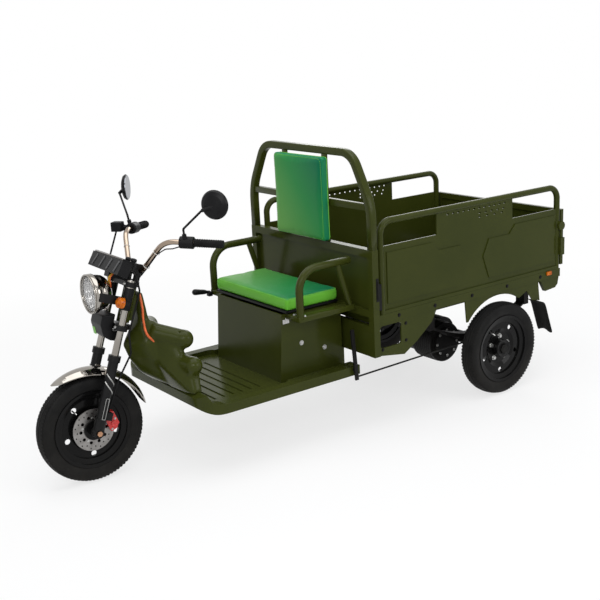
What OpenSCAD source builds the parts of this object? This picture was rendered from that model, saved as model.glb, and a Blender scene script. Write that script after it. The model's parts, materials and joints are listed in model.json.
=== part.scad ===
// Electric cargo tricycle: one steered front wheel, two rear wheels, a step-through deck,
// a seat on a battery box and an open load bed with a drop tailgate.
// X points forward, Y to the rider's left, Z up. Millimetres and degrees.

/* [Wheels] */
// Outside diameter of all three tyres
tyre_d = 458; // [430:1:490]
// Width of a tyre
tyre_w = 82; // [70:1:95]
// Diameter of the rim flange
rim_d = 330; // [310:1:345]
// Distance from the rear axle to the front axle
wheel_base = 1967; // [1900:1:2050]
// Distance between the middles of the rear tyres
rear_track = 890; // [850:1:940]
// Number of round holes in each wheel disc
disc_holes = 5; // [3:1:8]

/* [Steering] */
// Lean of the steering axis behind the vertical
rake = 19.6; // [15:0.1:25]
// Distance of the fork legs ahead of the steering axis
fork_offset = 40; // [30:1:50]
// Distance between the middles of the fork legs
leg_spacing = 166; // [156:1:180]
// Diameter of a bare fork tube
leg_d = 30; // [26:1:34]
// Diameter of a fork slider
slider_d = 42; // [38:1:48]
// How far the front end is turned as it stands, left is positive
steer_rest = -3.7; // [-10:0.1:10]
// Diameter of the handlebar tube
bar_d = 22; // [20:1:26]
// Half the width across the ends of the grips
grip_end_y = 360; // [340:1:380]
// Distance of the grip ends above the front axle, along the fork
grip_up = 867; // [850:1:885]
// Diameter of a mirror
mirror_d = 112; // [100:1:130]
// Distance from the middle plane to a mirror's middle
mirror_y = 419; // [405:1:435]
// Distance of a mirror's middle above the front axle, along the fork
mirror_up = 1010; // [990:1:1030]
// Diameter of the headlight rim
headlight_d = 164; // [140:1:180]

/* [Deck and shield] */
// Half the width of the foot deck
deck_y = 365; // [340:1:385]
// Height of the underside of the deck
deck_z = 272; // [262:1:284]
// Height of the deck's raised edge above its underside
deck_edge_h = 42; // [38:1:56]
// Depth of the foot pan below the raised edge
deck_pan_h = 23; // [16:1:30]
// Distance from the front axle back to the end of the deck's flat stretch
deck_nose = 422; // [410:1:435]
// Rear end of the deck
deck_rear_x = 812; // [806:1:820]

/* [Seat] */
// Rear face of the battery box
box_rear_x = 825; // [822:1:830]
// Front foot of the battery box
box_front_x = 1172; // [1150:1:1200]
// Half the width of the battery box
box_y = 258; // [240:1:275]
// Height of the rim of the battery box
box_top_z = 596; // [588:1:600]
// Thickness of the battery box's sheet walls
box_wall = 6; // [4:1:9]
// Front edge of the seat cushion
seat_front_x = 1145; // [1125:1:1160]
// Rear edge of the seat cushion
seat_rear_x = 850; // [846:1:856]
// Half the width of the seat cushion
seat_y = 293; // [275:1:300]
// Thickness of the seat cushion
seat_h = 57; // [45:1:70]
// Distance from the middle plane to an armrest's middle
armrest_y = 345; // [335:1:352]
// Diameter of the armrest tube
armrest_d = 34; // [28:1:38]
// Height of the middle of the armrest's top run
armrest_z = 799; // [770:1:830]
// Width of the backrest cushion
back_w = 384; // [350:1:410]
// Height of the lower edge of the backrest cushion
back_z = 849; // [847:1:870]
// Length of the backrest cushion
back_h = 393; // [360:1:398]
// Thickness of the backrest cushion
back_t = 44; // [35:1:52]

/* [Load bed] */
// Front end of the side boards
bed_front_x = 743; // [730:1:750]
// Rear end of the side boards
bed_rear_x = -448; // [-480:1:-430]
// Half the width across the side boards
bed_y = 445; // [430:1:460]
// Underside of the bed's side rail
rail_z = 505; // [500:1:512]
// Top of the bed's side rail, where the boards stand
floor_z = 546; // [540:1:552]
// Height of the top of the side board tubes
board_top_z = 975; // [950:1:1000]
// Height of the sheet part of the side boards
board_sheet_z = 852; // [830:1:870]
// Diameter of the side board tube
board_tube_d = 30; // [26:1:34]
// Height of the top of the tailgate
gate_top_z = 845; // [820:1:865]
// Height of the top of the backrest hoop
hoop_top_z = 1276; // [1266:1:1300]
// Half the width across the hoop's upright posts
hoop_y = 462; // [450:1:475]
// Side of the hoop's square tube
hoop_t = 34; // [30:1:38]

/* [Hidden] */
$fn = 48;
gap = 0.3;                        // clearance between pieces that only rest together
run_gap = 0.05;                   // radial clearance of a shaft in its bore
tyre_r = tyre_d / 2;
rim_r = rim_d / 2;
wheel_y = rear_track / 2;
tail_reach = 25;                  // how far the tailgate stands behind the side boards
front_reach = wheel_base + tyre_r;
deck_front_x = wheel_base - deck_nose;
rear_axle_x = -(front_reach + bed_rear_x - tail_reach) / 2;   // the origin is halfway along the vehicle

// Steering axis, in the rear axle's frame
front_axle = [wheel_base, 0, tyre_r];
axis_dir = [-sin(rake), 0, cos(rake)];
axis_foot = front_axle - fork_offset * [cos(rake), 0, sin(rake)];
// A point given in the fork's frame: forward of the legs, to the left, up along the legs
function fork_pt(p) = front_axle + [p[0] * cos(rake) - p[2] * sin(rake), p[1],
    p[0] * sin(rake) + p[2] * cos(rake)];

// Basic shapes

module place() { translate([rear_axle_x, 0, 0]) children(); }

module both_sides() { children(); mirror([0, 1, 0]) children(); }

module rounded_rect(w, h, r) {
    square([w - 2 * r, h], center = true);
    square([w, h - 2 * r], center = true);
    for (sx = [-1, 1], sy = [-1, 1]) translate([sx * (w / 2 - r), sy * (h / 2 - r)]) circle(r);
}

// A box between two corners
module block(a, b) { translate(a) cube(b - a); }

// A plate standing along X, from an outline of [x, z] points, between two distances y
module side_plate(points, y0, y1) {
    translate([0, y1, 0]) rotate([90, 0, 0]) linear_extrude(y1 - y0) polygon(points);
}

module bar_y(x, z, d, y0, y1) { translate([x, y1, z]) rotate([90, 0, 0]) cylinder(d = d, h = y1 - y0); }

module rod(a, b, d) {
    v = b - a;
    translate(a) rotate([0, acos(v[2] / norm(v)), atan2(v[1], v[0])]) cylinder(d = d, h = norm(v));
}

function unit(v) = v / norm(v);
function arc(c, r, a0, a1, n) = [for (i = [0:n]) c + r * [cos(a0 + (a1 - a0) * i / n),
    sin(a0 + (a1 - a0) * i / n)]];

// Distance from a bend's corner to where its arc begins
function setback(p, q, s, r) = r * tan(acos(unit(q - p) * unit(s - q)) / 2);

// A round tube through points, with each inner corner bent to radius r
module bent_tube(pts, d, r) {
    n = len(pts);
    for (i = [0:n - 2]) {
        u = unit(pts[i + 1] - pts[i]);
        cut_a = i == 0 ? 0 : setback(pts[i - 1], pts[i], pts[i + 1], r);
        cut_b = i == n - 2 ? 0 : setback(pts[i], pts[i + 1], pts[i + 2], r);
        rod(pts[i] + (cut_a - (i == 0 ? 0 : 2)) * u, pts[i + 1] - (cut_b - (i == n - 2 ? 0 : 2)) * u, d);
    }
    for (i = [1:n - 2]) {
        u = unit(pts[i] - pts[i - 1]);
        v = unit(pts[i + 1] - pts[i]);
        inward = unit(v - (u * v) * u);
        w = cross(u, inward);
        c = pts[i] - setback(pts[i - 1], pts[i], pts[i + 1], r) * u + r * inward;
        multmatrix([[-inward[0], u[0], w[0], c[0]], [-inward[1], u[1], w[1], c[1]], [-inward[2], u[2],
            w[2], c[2]]])
            rotate_extrude(angle = acos(u * v)) translate([r, 0]) circle(d = d + 0.4);
    }
}

// The front end turned about the steering axis, as it stands
module turned() {
    translate(axis_foot) rotate([0, -rake, 0]) rotate([0, 0, steer_rest]) rotate([0, rake, 0])
        translate(-axis_foot) children();
}

// Fork frame: origin on the front axle, Z up along the legs
module in_fork() { translate(front_axle) rotate([0, -rake, 0]) children(); }

// Colours
paint = [0.21, 0.24, 0.13];
black = [0.07, 0.07, 0.07];
rubber = [0.05, 0.05, 0.05];
steel = [0.62, 0.60, 0.57];
green = [0.20, 0.55, 0.25];
amber = [0.95, 0.50, 0.05];

// Wheels

axle_r = 7.5;
hub_half = 46;
tyre_bead_r = rim_r - 9;
rim_half = tyre_w / 2 - 11;

module tyre_section() {
    side = tyre_w / 2;
    crown_r = tyre_w * 0.62;
    depth = tyre_r - tyre_bead_r;
    belly = tyre_bead_r + depth * 0.52;
    intersection() {
        union() {
            translate([tyre_r - crown_r, 0]) circle(crown_r);
            translate([tyre_bead_r, -side]) square([belly - tyre_bead_r, tyre_w]);
        }
        union() {
            translate([belly, 0]) rounded_rect(2 * (tyre_r - belly) + 2, tyre_w, tyre_w * 0.3);
            polygon([[tyre_bead_r, -rim_half], [belly, -side], [belly, side], [tyre_bead_r, rim_half]]);
        }
    }
}

module tyre(pos) {
    translate(pos) rotate([90, 0, 0]) color(rubber) rotate_extrude($fn = 96) tyre_section();
}

// Pressed steel rim and disc, its dish open to +Y, with the hub on the middle plane
rim_sheet = 4;
disc_y = 4;
module rim_section() {
    well_r = tyre_bead_r - 22;
    seat_r = tyre_bead_r - gap;
    s = rim_sheet;
    polygon([[rim_r, -rim_half - 8], [rim_r, -rim_half - 4.4], [seat_r, -rim_half - 0.4], [seat_r, -22],
        [well_r, -16],
        [well_r, 16], [seat_r, 22], [seat_r, rim_half + 0.4], [rim_r, rim_half + 4.4], [rim_r,
            rim_half + 8],
        [seat_r - s, rim_half + 4.4], [seat_r - s, 24], [well_r - s, 18], [well_r - s, disc_y + 6],
        [95, disc_y + 6], [70, disc_y - 8], [40, disc_y - 8], [40, disc_y - 14], [72, disc_y - 14],
        [96, disc_y], [well_r - s, disc_y], [well_r - s, -18], [seat_r - s, -24], [seat_r - s,
            -rim_half - 4.4]]);
}

module wheel_disc(hub_r, hub_a, hub_b, bore_r) {
    hole_pitch_r = 112;
    hole_d = 24;
    difference() {
        rotate([-90, 0, 0]) union() {
            rotate_extrude($fn = 96) rim_section();
            translate([0, 0, hub_a]) cylinder(r = hub_r, h = hub_b - hub_a);
        }
        rotate([-90, 0, 0]) translate([0, 0, hub_a - 1]) cylinder(r = bore_r, h = hub_b - hub_a + 2);
        for (i = [0:disc_holes - 1]) rotate([0, i * 360 / disc_holes + 18, 0]) translate([hole_pitch_r,
            30, 0])
            rotate([90, 0, 0]) cylinder(d = hole_d, h = 60);
    }
}

module front_rim() { turned() translate(front_axle) color(black) wheel_disc(42, -hub_half, hub_half,
    axle_r + run_gap); }
module front_tyre() { turned() tyre(front_axle); }
module rear_tyre_left() { tyre([0, wheel_y, tyre_r]); }
module rear_tyre_right() { tyre([0, -wheel_y, tyre_r]); }

// Rear rim with a brake drum on its inner side
spindle_r = 14;
module rear_rim() {
    translate([0, wheel_y, tyre_r]) color(black) union() {
        wheel_disc(44, -52, 34, spindle_r + run_gap);
        rotate([-90, 0, 0]) difference() {
            translate([0, 0, -52]) cylinder(r = 82, h = 40);
            translate([0, 0, -53]) cylinder(r = 76, h = 34);
            translate([0, 0, -53]) cylinder(r = 43, h = 60);
        }
        rotate([-90, 0, 0]) difference() {
            translate([0, 0, -22]) cylinder(r = 80, h = 22);
            translate([0, 0, -60]) cylinder(r = 43, h = 120);
        }
    }
}
module rear_rim_left() { rear_rim(); }
module rear_rim_right() { mirror([0, 1, 0]) rear_rim(); }

// Brake disc on the left of the front hub
rotor_r = 90;
rotor_y = hub_half - 8;
module brake_disc() {
    turned() translate(front_axle) rotate([-90, 0, 0]) color(steel) difference() {
        translate([0, 0, rotor_y - 4]) cylinder(r = rotor_r, h = 4);
        translate([0, 0, rotor_y - 5]) cylinder(r = 42 + gap, h = 6);
        for (i = [0:9]) rotate([0, 0, i * 36]) translate([56, 0, rotor_y - 5]) cylinder(d = 14, h = 6);
        for (i = [0:23]) rotate([0, 0, i * 15]) translate([i % 2 == 0 ? 72 : 81, 0, rotor_y - 5])
            cylinder(d = 6, h = 6, $fn = 16);
    }
}

// Front fork

leg_y = leg_spacing / 2;
lower_clamp = [430, 452];
upper_clamp = [612, 632];
slider_top = 300;
fork_top = 640;

module front_axle_pin() {
    turned() translate(front_axle) rotate([-90, 0, 0]) color(steel) {
        translate([0, 0, -leg_y - 16]) cylinder(r = axle_r, h = leg_spacing + 32);
        for (s = [-1, 1]) translate([0, 0, s * (leg_y + 18 + gap) - 6]) cylinder(r = 12, h = 12, $fn = 6);
    }
}

module fork_sliders() {
    turned() in_fork() color(black) both_sides() difference() {
        union() {
            translate([0, leg_y, -14]) cylinder(d = slider_d, h = slider_top + 14);
            translate([0, leg_y, 14]) cylinder(d = slider_d + 6, h = 46);
            translate([0, leg_y, slider_top]) cylinder(d = slider_d + 10, h = 26);
            rotate([-90, 0, 0]) translate([0, 0, leg_y - 17]) cylinder(r = 24, h = 29);
            translate([-8, leg_y + 10, 60]) cube([16, 15, 90]);
            translate([-50, rotor_y + 18 + gap, 54]) cube([44, leg_y - rotor_y - 18, 32]);
        }
        translate([0, leg_y, slider_top - 40]) cylinder(d = leg_d + 0.2, h = 80);
        rotate([-90, 0, 0]) translate([0, 0, 40]) cylinder(r = axle_r + 0.1, h = 80);
        rotate([-90, 0, 0]) translate([0, 0, leg_y + 11.5]) cylinder(r = 14, h = 40);
    }
}

module fork_tubes() {
    turned() in_fork() color(steel) both_sides()
        translate([0, leg_y, slider_top - 40]) cylinder(d = leg_d, h = fork_top - slider_top + 40);
}

// Clamps that hold the tubes, and the stem that turns in the head tube
stem_r = 16;
module clamp_plate(z, h) {
    difference() {
        union() {
            translate([-fork_offset, 0, z]) cylinder(r = 34, h = h);
            for (s = [-1, 1]) translate([0, s * leg_y, z]) cylinder(r = leg_d / 2 + 12, h = h);
            translate([-26, -leg_y, z]) cube([42, leg_spacing, h]);
            translate([-fork_offset, -48, z]) cube([40, 96, h]);
        }
        for (s = [-1, 1]) translate([0, s * leg_y, z - 1]) cylinder(d = leg_d + 0.2, h = h + 2);
    }
}
module fork_stem() {
    turned() color(black) difference() {
        in_fork() union() {
            clamp_plate(lower_clamp[0], lower_clamp[1] - lower_clamp[0]);
            clamp_plate(upper_clamp[0], upper_clamp[1] - upper_clamp[0]);
            translate([-fork_offset, 0, lower_clamp[1] - 1]) cylinder(r = stem_r,
                h = upper_clamp[0] - lower_clamp[1] + 2);
            translate([-fork_offset, 0, upper_clamp[1] - 1]) cylinder(r = 20, h = 9, $fn = 6);
            both_sides() translate([-fork_offset, 40, upper_clamp[1] - 1]) {
                cylinder(d = 28, h = 70);
                translate([-18, -14, 36]) cube([36, 28, 42]);
            }
        }
        bar_path(bar_d + 0.2);
    }
}

// Chrome mudguard: a crowned blade over the tyre with a point at each end
fender_r = tyre_r + 33;
fender_half = 58;
function blade_half(a, a0, a1) = fender_half * pow(sin(180 * (a - a0) / (a1 - a0)), 0.42);
module fender_blade() {
    a0 = 56;
    a1 = 170;
    n = 24;
    m = 6;
    t = 3;
    rows = [for (i = [0:n]) a0 + (a1 - a0) * i / n];
    function half(i) = max(3, blade_half(rows[i], a0, a1));
    function crown(i, k) = let (s = k / m) (fender_r - 24 * s * s * half(i) / fender_half);
    function pt(i, k, d) = let (a = rows[i], q = crown(i, k) + d)
        [q * cos(a), half(i) * k / m, q * sin(a)];
    w = 2 * m + 1;
    outer = [for (i = [0:n], k = [-m:m]) pt(i, k, 0)];
    inner = [for (i = [0:n], k = [-m:m]) pt(i, k, -t)];
    base = (n + 1) * w;
    faces = concat(
        [for (i = [0:n - 1], k = [0:w - 2]) [i * w + k, i * w + k + 1, (i + 1) * w + k + 1,
            (i + 1) * w + k]],
        [for (i = [0:n - 1], k = [0:w - 2]) [base + i * w + k, base + (i + 1) * w + k,
            base + (i + 1) * w + k + 1, base + i * w + k + 1]],
        [for (i = [0:n - 1]) [i * w, (i + 1) * w, base + (i + 1) * w, base + i * w]],
        [for (i = [0:n - 1]) [i * w + w - 1, base + i * w + w - 1, base + (i + 1) * w + w - 1,
            (i + 1) * w + w - 1]],
        [for (k = [0:w - 2]) [k, base + k, base + k + 1, k + 1]],
        [for (k = [0:w - 2]) [n * w + k, n * w + k + 1, base + n * w + k + 1, base + n * w + k]]);
    polyhedron(concat(outer, inner), [for (f = faces) [for (i = [len(f) - 1:-1:0]) f[i]]], convexity = 6);
}
module front_fender() {
    turned() color(steel) {
        translate(front_axle) fender_blade();
        in_fork() both_sides() translate([-12, 50, 226]) cube([24, leg_y - slider_d / 2 - gap - 50, 30]);
    }
}

module brake_caliper() {
    turned() translate(front_axle) color([0.75, 0.08, 0.06]) rotate([0, -159, 0]) difference() {
        union() {
            translate([58, rotor_y - 20, -44]) cube([46, 38, 88]);
            for (z = [-20, 20]) translate([76, rotor_y - 24, z]) rotate([-90, 0, 0]) cylinder(d = 32,
                h = 8);
        }
        translate([50, rotor_y - 6, -60]) cube([46, 8, 120]);
        for (z = [-52, 52]) translate([108, rotor_y + 24, z]) rotate([90, 0, 0]) cylinder(r = 22, h = 60);
    }
}

// Lamps, display and handlebar

lamp_c = fork_pt([122, 0, 551]);
module headlight_shell() {
    r = headlight_d / 2;
    turned() translate(lamp_c) rotate([0, 90, 0]) color(steel) difference() {
        rotate_extrude() polygon([[0, -80], [30, -78], [54, -66], [70, -46], [r - 6, -16], [r, -10], [r, 6],
            [r - 3, 10], [0, 10]]);
        translate([0, 0, 2]) cylinder(r = r - 6, h = 20);
    }
}
module headlight_lens() {
    r = headlight_d / 2 - 6 - gap;
    dome = [for (i = [0:6]) [r * (1 - i / 6), 8 + 9 * (1 - pow(1 - i / 6, 2))]];
    turned() translate(lamp_c) rotate([0, 90, 0]) color([0.9, 0.92, 0.95])
        rotate_extrude() polygon(concat([[0, 2 + gap], [r, 2 + gap]], dome));
}

// Brackets around the fork tubes that carry the headlight and the indicators
bracket_z = 530;
module lamp_brackets() {
    r = headlight_d / 2;
    turned() color(black) both_sides() difference() {
        union() {
            in_fork() translate([0, leg_y, 516]) cylinder(d = leg_d + 12, h = 92);
            in_fork() translate([0, leg_y + 10, bracket_z + 8]) cube([26, 22, 14]);
            in_fork() block([2, r + gap, 532], [118, r + 4.5, 568]);
        }
        in_fork() translate([0, leg_y, 500]) cylinder(d = leg_d + 0.2, h = 130);
    }
}
module indicators() {
    turned() in_fork() color(amber) both_sides() translate([26 + gap, leg_y + 26, bracket_z + 15])
        rotate([0, 90, 0]) {
        cylinder(d = 44, h = 16);
        translate([0, 0, 16]) intersection() {
            cylinder(d = 44, h = 20);
            translate([0, 0, -12]) sphere(d = 56);
        }
    }
}
module display_unit() {
    turned() in_fork() color(black) union() {
        translate([92, 0, 691]) rotate([0, -10.8, 0]) {
            block([-46, -154, -35], [0, 154, 27]);
            block([-46, -146, 26], [-8, 146, 35]);
        }
        translate([-4, -22, upper_clamp[1] + gap]) cube([80, 44, 34]);
    }
}
module control_box() {
    turned() in_fork() color(black) side_plate([[77, 475], [77, 436], [54, 393], [22, 380], [-22, 382],
        [-25, 419], [21, 419], [23, 490]],
        -56, 56);
}

// Handlebar: one bent tube on two risers
bar_mid = fork_pt([-fork_offset - 2, 0, 687]);
bar_low = fork_pt([-fork_offset - 7, 66, 684]);
bar_top = fork_pt([-fork_offset - 10, 192, 826]);
grip_end = fork_pt([-fork_offset - 178, grip_end_y, grip_up]);
function flip(p) = [p[0], -p[1], p[2]];
module bar_path(d) {
    bent_tube([flip(grip_end), flip(bar_top), flip(bar_low), bar_mid, bar_low, bar_top, grip_end], d, 38);
}
module handlebar() {
    turned() color(steel) bar_path(bar_d);
}
grip_dir = unit(grip_end - bar_top);
housing = grip_end - 146 * grip_dir;
module grips() {
    turned() color(black) both_sides() difference() {
        rod(grip_end - 114 * grip_dir, grip_end + 5 * grip_dir, 32);
        rod(grip_end - 130 * grip_dir, grip_end + 0.3 * grip_dir, bar_d + 0.2);
    }
}
module hand_controls() {
    cylinder_at = flip(housing) + [68, -10, 16];
    turned() color(black) difference() {
        union() {
            both_sides() rod(grip_end - 174 * grip_dir, grip_end - 116 * grip_dir, 50);
            rod(flip(housing), cylinder_at, 20);
            translate(cylinder_at) rotate([0, 0, 40]) block([-20, -24, -22], [20, 24, 20]);
            bent_tube([cylinder_at + [-10, -10, 0], cylinder_at + [-16, -50, -4], flip(grip_end) + [56,
                -8, -4]], 9, 10);
        }
        bar_path(bar_d + 0.2);
    }
}
mirror_c = fork_pt([-fork_offset - 73, mirror_y, mirror_up]);
mirror_toe = 36;
module mirrors() {
    foot = housing + [12, 8, 24];
    turned() color(black) both_sides() {
        difference() {
            union() {
                bent_tube([foot, foot + [4, 4, 34], mirror_c + [44, -26, -19]], 9, 12);
                rod(foot - [2, 1, 6], foot + [1, 1, 12], 18);
                rod(mirror_c + [44, -26, -19], mirror_c + [6, 6, -4], 14);
            }
            rod(grip_end - 180 * grip_dir, grip_end - 110 * grip_dir, 50.6);
        }
        translate(mirror_c) rotate([0, 0, mirror_toe]) rotate([0, 90, 0]) rotate_extrude() polygon([[0, -6],
            [mirror_d / 2, -6], [mirror_d / 2 + 2, -2], [mirror_d / 2 - 4, 7], [mirror_d / 2 - 18, 13],
                [0, 16]]);
    }
}
module mirror_glasses() {
    turned() color([0.8, 0.85, 0.9]) both_sides() translate(mirror_c) rotate([0, 0, mirror_toe])
        translate([-9 - gap, 0, 0]) rotate([0, 90, 0]) cylinder(d = mirror_d - 6, h = 3);
}

// Front brake hose, from the hand cylinder on the right to the bracket of the caliper
hose_path = [flip(housing) + [72, -14, -9.6], fork_pt([8, -160, 673]), fork_pt([4, 118, 673]),
    fork_pt([-28, 122, 606]), fork_pt([-20, 124, 430]), fork_pt([-46, 130, 350]), fork_pt([-30, 104, 235]),
    fork_pt([-32, 68, 87.2 + gap])];
module brake_hose() {
    turned() color(rubber) bent_tube(hose_path, 8, 18);
}

// Head tube, held by the leg shield
module head_tube() {
    color(paint) difference() {
        in_fork() union() {
            translate([-fork_offset, 0, lower_clamp[1] + 6]) cylinder(r = 27,
                h = upper_clamp[0] - lower_clamp[1] - 12);
            translate([-fork_offset - 40, -16, lower_clamp[1] + 16]) cube([28, 32, 110]);
        }
        in_fork() translate([-fork_offset, 0, lower_clamp[1]]) cylinder(r = stem_r + run_gap, h = 200);
    }
}

// Leg shield: a creased centre panel, a column cover and two rounded lobes at each side
module ball(p, r) { translate(p) sphere(r = r, $fn = 24); }
shield_at = [wheel_base - 1967, 0, tyre_r - 229];
module leg_shield() {
    color(paint) difference() {
        translate(shield_at) union() {
            hull() both_sides() {
                ball([1700, 26, 750], 8);
                ball([1692, 26, 756], 8);
                ball([1706, 28, 636], 8);
                ball([1676, 30, 636], 8);
            }
            hull() both_sides() {
                ball([1741, 0, 584], 8);
                ball([1777, 0, 546], 8);
                ball([1753, 0, 480], 8);
                ball([1706, 28, 634], 8);
                ball([1712, 78, 556], 8);
                ball([1692, 82, 490], 8);
                ball([1652, 50, 626], 8);
                ball([1610, 82, 480], 8);
            }
            hull() both_sides() {
                ball([1753, 0, 482], 8);
                ball([1715, 0, 421], 8);
                ball([1672, 0, 386], 8);
                ball([1634, 0, 358], 8);
                ball([1690, 82, 490], 8);
                ball([1652, 86, 408], 8);
                ball([1626, 90, 362], 8);
                ball([1606, 82, 480], 8);
                ball([1590, 90, 362], 8);
            }
            both_sides() {
                rod([1668, 54, 592], [1577, 152, 560], 78);
                ball([1577, 152, 560], 41);
                rod([1604, 120, 464], [1585, 228, 462], 74);
                ball([1585, 228, 462], 39);
                hull() {
                    ball([1664, 60, 586], 22);
                    ball([1618, 106, 572], 27);
                    ball([1602, 164, 468], 27);
                    ball([1640, 96, 470], 18);
                    ball([1684, 78, 490], 8);
                }
                hull() {
                    ball([1684, 80, 486], 8);
                    ball([1650, 84, 410], 8);
                    ball([1600, 204, 476], 10);
                    ball([1600, 224, 440], 10);
                    ball([1572, 204, 470], 10);
                    ball([1570, 224, 440], 10);
                    ball([1622, 90, 352], 8);
                    ball([1616, 200, 352], 8);
                    ball([1606, 262, 350], 8);
                    ball([1584, 100, 352], 8);
                    ball([1580, 262, 350], 8);
                }
            }
        }
        in_fork() translate([-fork_offset - 40 - gap, -16 - gap, lower_clamp[1] + 16 - gap])
            cube([30, 32 + 2 * gap, 110 + 2 * gap]);
        in_fork() translate([-fork_offset, 0, lower_clamp[1]]) cylinder(r = 27 + gap, h = 200);
        block([1300, -400, 200], [1900, 400, deck_toe_z + 2]);
        deck_toe(gap);
    }
}

// Cable loom, down the left of the column cover onto the shield
loom_path = [[1698, 40.5, 744], [1702, 43, 650], [1716, 92, 592], [1700, 112, 566]];
module cable_loom() {
    color([0.85, 0.3, 0.1]) translate(shield_at) bent_tube(loom_path, 10, 14);
}

// Foot deck: a raised edge around a ribbed pan, its front swept up
deck_toe_x = deck_front_x + 77;
deck_toe_z = deck_z + 68;
function deck_under() = concat([[deck_rear_x, deck_z]], [for (i = [0:6]) let (a = -90 + 40 * i / 6)
    [deck_front_x + 116 * cos(a), deck_z + 116 + 116 * sin(a)]], [[deck_toe_x, deck_toe_z]]);
function deck_over(up) = [[deck_toe_x - 30, deck_toe_z + 18 + up], [deck_front_x + 30,
    deck_z + deck_edge_h + 12 + up],
    [deck_front_x - 20, deck_z + deck_edge_h + up], [deck_rear_x, deck_z + deck_edge_h + up]];
module deck_outline() {
    r = 110;
    union() {
        translate([deck_rear_x, -deck_y]) square([deck_toe_x - r - deck_rear_x, 2 * deck_y]);
        translate([deck_toe_x - r - 1, -deck_y + r]) square([r + 1, 2 * (deck_y - r)]);
        for (s = [-1, 1]) translate([deck_toe_x - r, s * (deck_y - r)]) circle(r);
    }
}
module deck_toe(up) {
    intersection() {
        side_plate(concat(deck_under(), deck_over(up)), -deck_y - 10, deck_y + 10);
        translate([0, 0, 100]) linear_extrude(500) deck_outline();
    }
}
module foot_deck() {
    pan_z = deck_z + deck_edge_h - deck_pan_h;
    color(paint) difference() {
        deck_toe(0);
        translate([0, 0, pan_z]) linear_extrude(400) translate([(box_front_x + deck_front_x) / 2, 0])
            rounded_rect(deck_front_x - box_front_x + 20, 2 * deck_y - 90, 40);
        block([deck_rear_x - 1, -box_y - 40, pan_z], [box_front_x + 60, box_y + 40, 400]);
        for (i = [0:5]) translate([box_front_x + 90 + 45 * i, -230, pan_z - 4]) cube([14, 460, 10]);
    }
}

// Battery box under the seat, open at the top, with its hinge ears and hasp
hinge_x = box_rear_x + 37;
hinge_z = box_top_z + 8;
hinge_r = 5;
box_foot_z = deck_z + deck_edge_h - deck_pan_h + gap;
box_outline = [[box_rear_x, box_foot_z], [box_front_x, box_foot_z], [box_front_x - 22, box_top_z],
    [box_rear_x, box_top_z]];
module seat_box() {
    color(paint) {
        difference() {
            side_plate(box_outline, -box_y, box_y);
            side_plate([[box_rear_x + box_wall, box_foot_z + box_wall], [box_front_x - box_wall,
                box_foot_z + box_wall],
                [box_front_x - 22 - box_wall, box_top_z + 5], [box_rear_x + box_wall, box_top_z + 5]],
                -box_y + box_wall, box_y - box_wall);
        }
        for (y = [-170, 170]) difference() {
            union() {
                side_plate([[box_rear_x + 1, hinge_z - 44], [hinge_x + 9, hinge_z - 44], [hinge_x + 9,
                    hinge_z],
                    [hinge_x - 9, hinge_z], [hinge_x - 9, hinge_z - 20], [box_rear_x + 1, hinge_z - 20]],
                        y - 4, y + 4);
                bar_y(hinge_x, hinge_z, 18, y - 4, y + 4);
            }
            bar_y(hinge_x, hinge_z, 2 * (hinge_r + run_gap), y - 10, y + 10);
        }
    }
}
module battery_block() {
    color(black) block([box_rear_x + 55, -box_y + 20, box_foot_z + box_wall + gap],
        [box_front_x - 47, box_y - 20, box_top_z - 51]);
}
module seat_lid() {
    color(black) {
        difference() {
            block([hinge_x - 6, -seat_y + 12, hinge_z], [seat_front_x - 5, seat_y - 12, hinge_z + 9]);
            for (y = [-170, 170]) block([hinge_x - 20, y - 10, hinge_z - 14], [hinge_x + 16, y + 10,
                hinge_z + 16]);
        }
        for (y = [-170, 170]) {
            bar_y(hinge_x, hinge_z, 2 * hinge_r, y - 32, y + 32);
            for (s = [-1, 1]) bar_y(hinge_x, hinge_z + 1, 14, y + s * 22 - 12, y + s * 22 + 12);
        }
    }
}
seat_z = hinge_z + 9 + gap;
module seat_cushion() {
    color(green) translate([(seat_front_x + seat_rear_x) / 2, 0, seat_z]) {
        linear_extrude(seat_h - 10) rounded_rect(seat_front_x - seat_rear_x, 2 * seat_y, 28);
        translate([0, 0, seat_h - 11]) linear_extrude(11)
            rounded_rect(seat_front_x - seat_rear_x - 16, 2 * seat_y - 16, 24);
    }
}

// Armrests beside the seat
arm_front_x = seat_front_x - 33;
arm_base_z = box_top_z + 2;
module armrests() {
    color(paint) both_sides() {
        bent_tube([[arm_front_x, armrest_y, arm_base_z - 8], [arm_front_x, armrest_y, armrest_z - 59],
            [arm_front_x - 42, armrest_y, armrest_z], [box_rear_x + 11, armrest_y, armrest_z]], armrest_d,
                46);
        rod([box_rear_x + 80, armrest_y, armrest_z], [box_rear_x + 13, armrest_y, arm_base_z - 10],
            armrest_d - 8);
        block([box_rear_x - 3, box_y + gap, arm_base_z - 38], [arm_front_x + 16, armrest_y + 14,
            arm_base_z]);
    }
}

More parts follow.
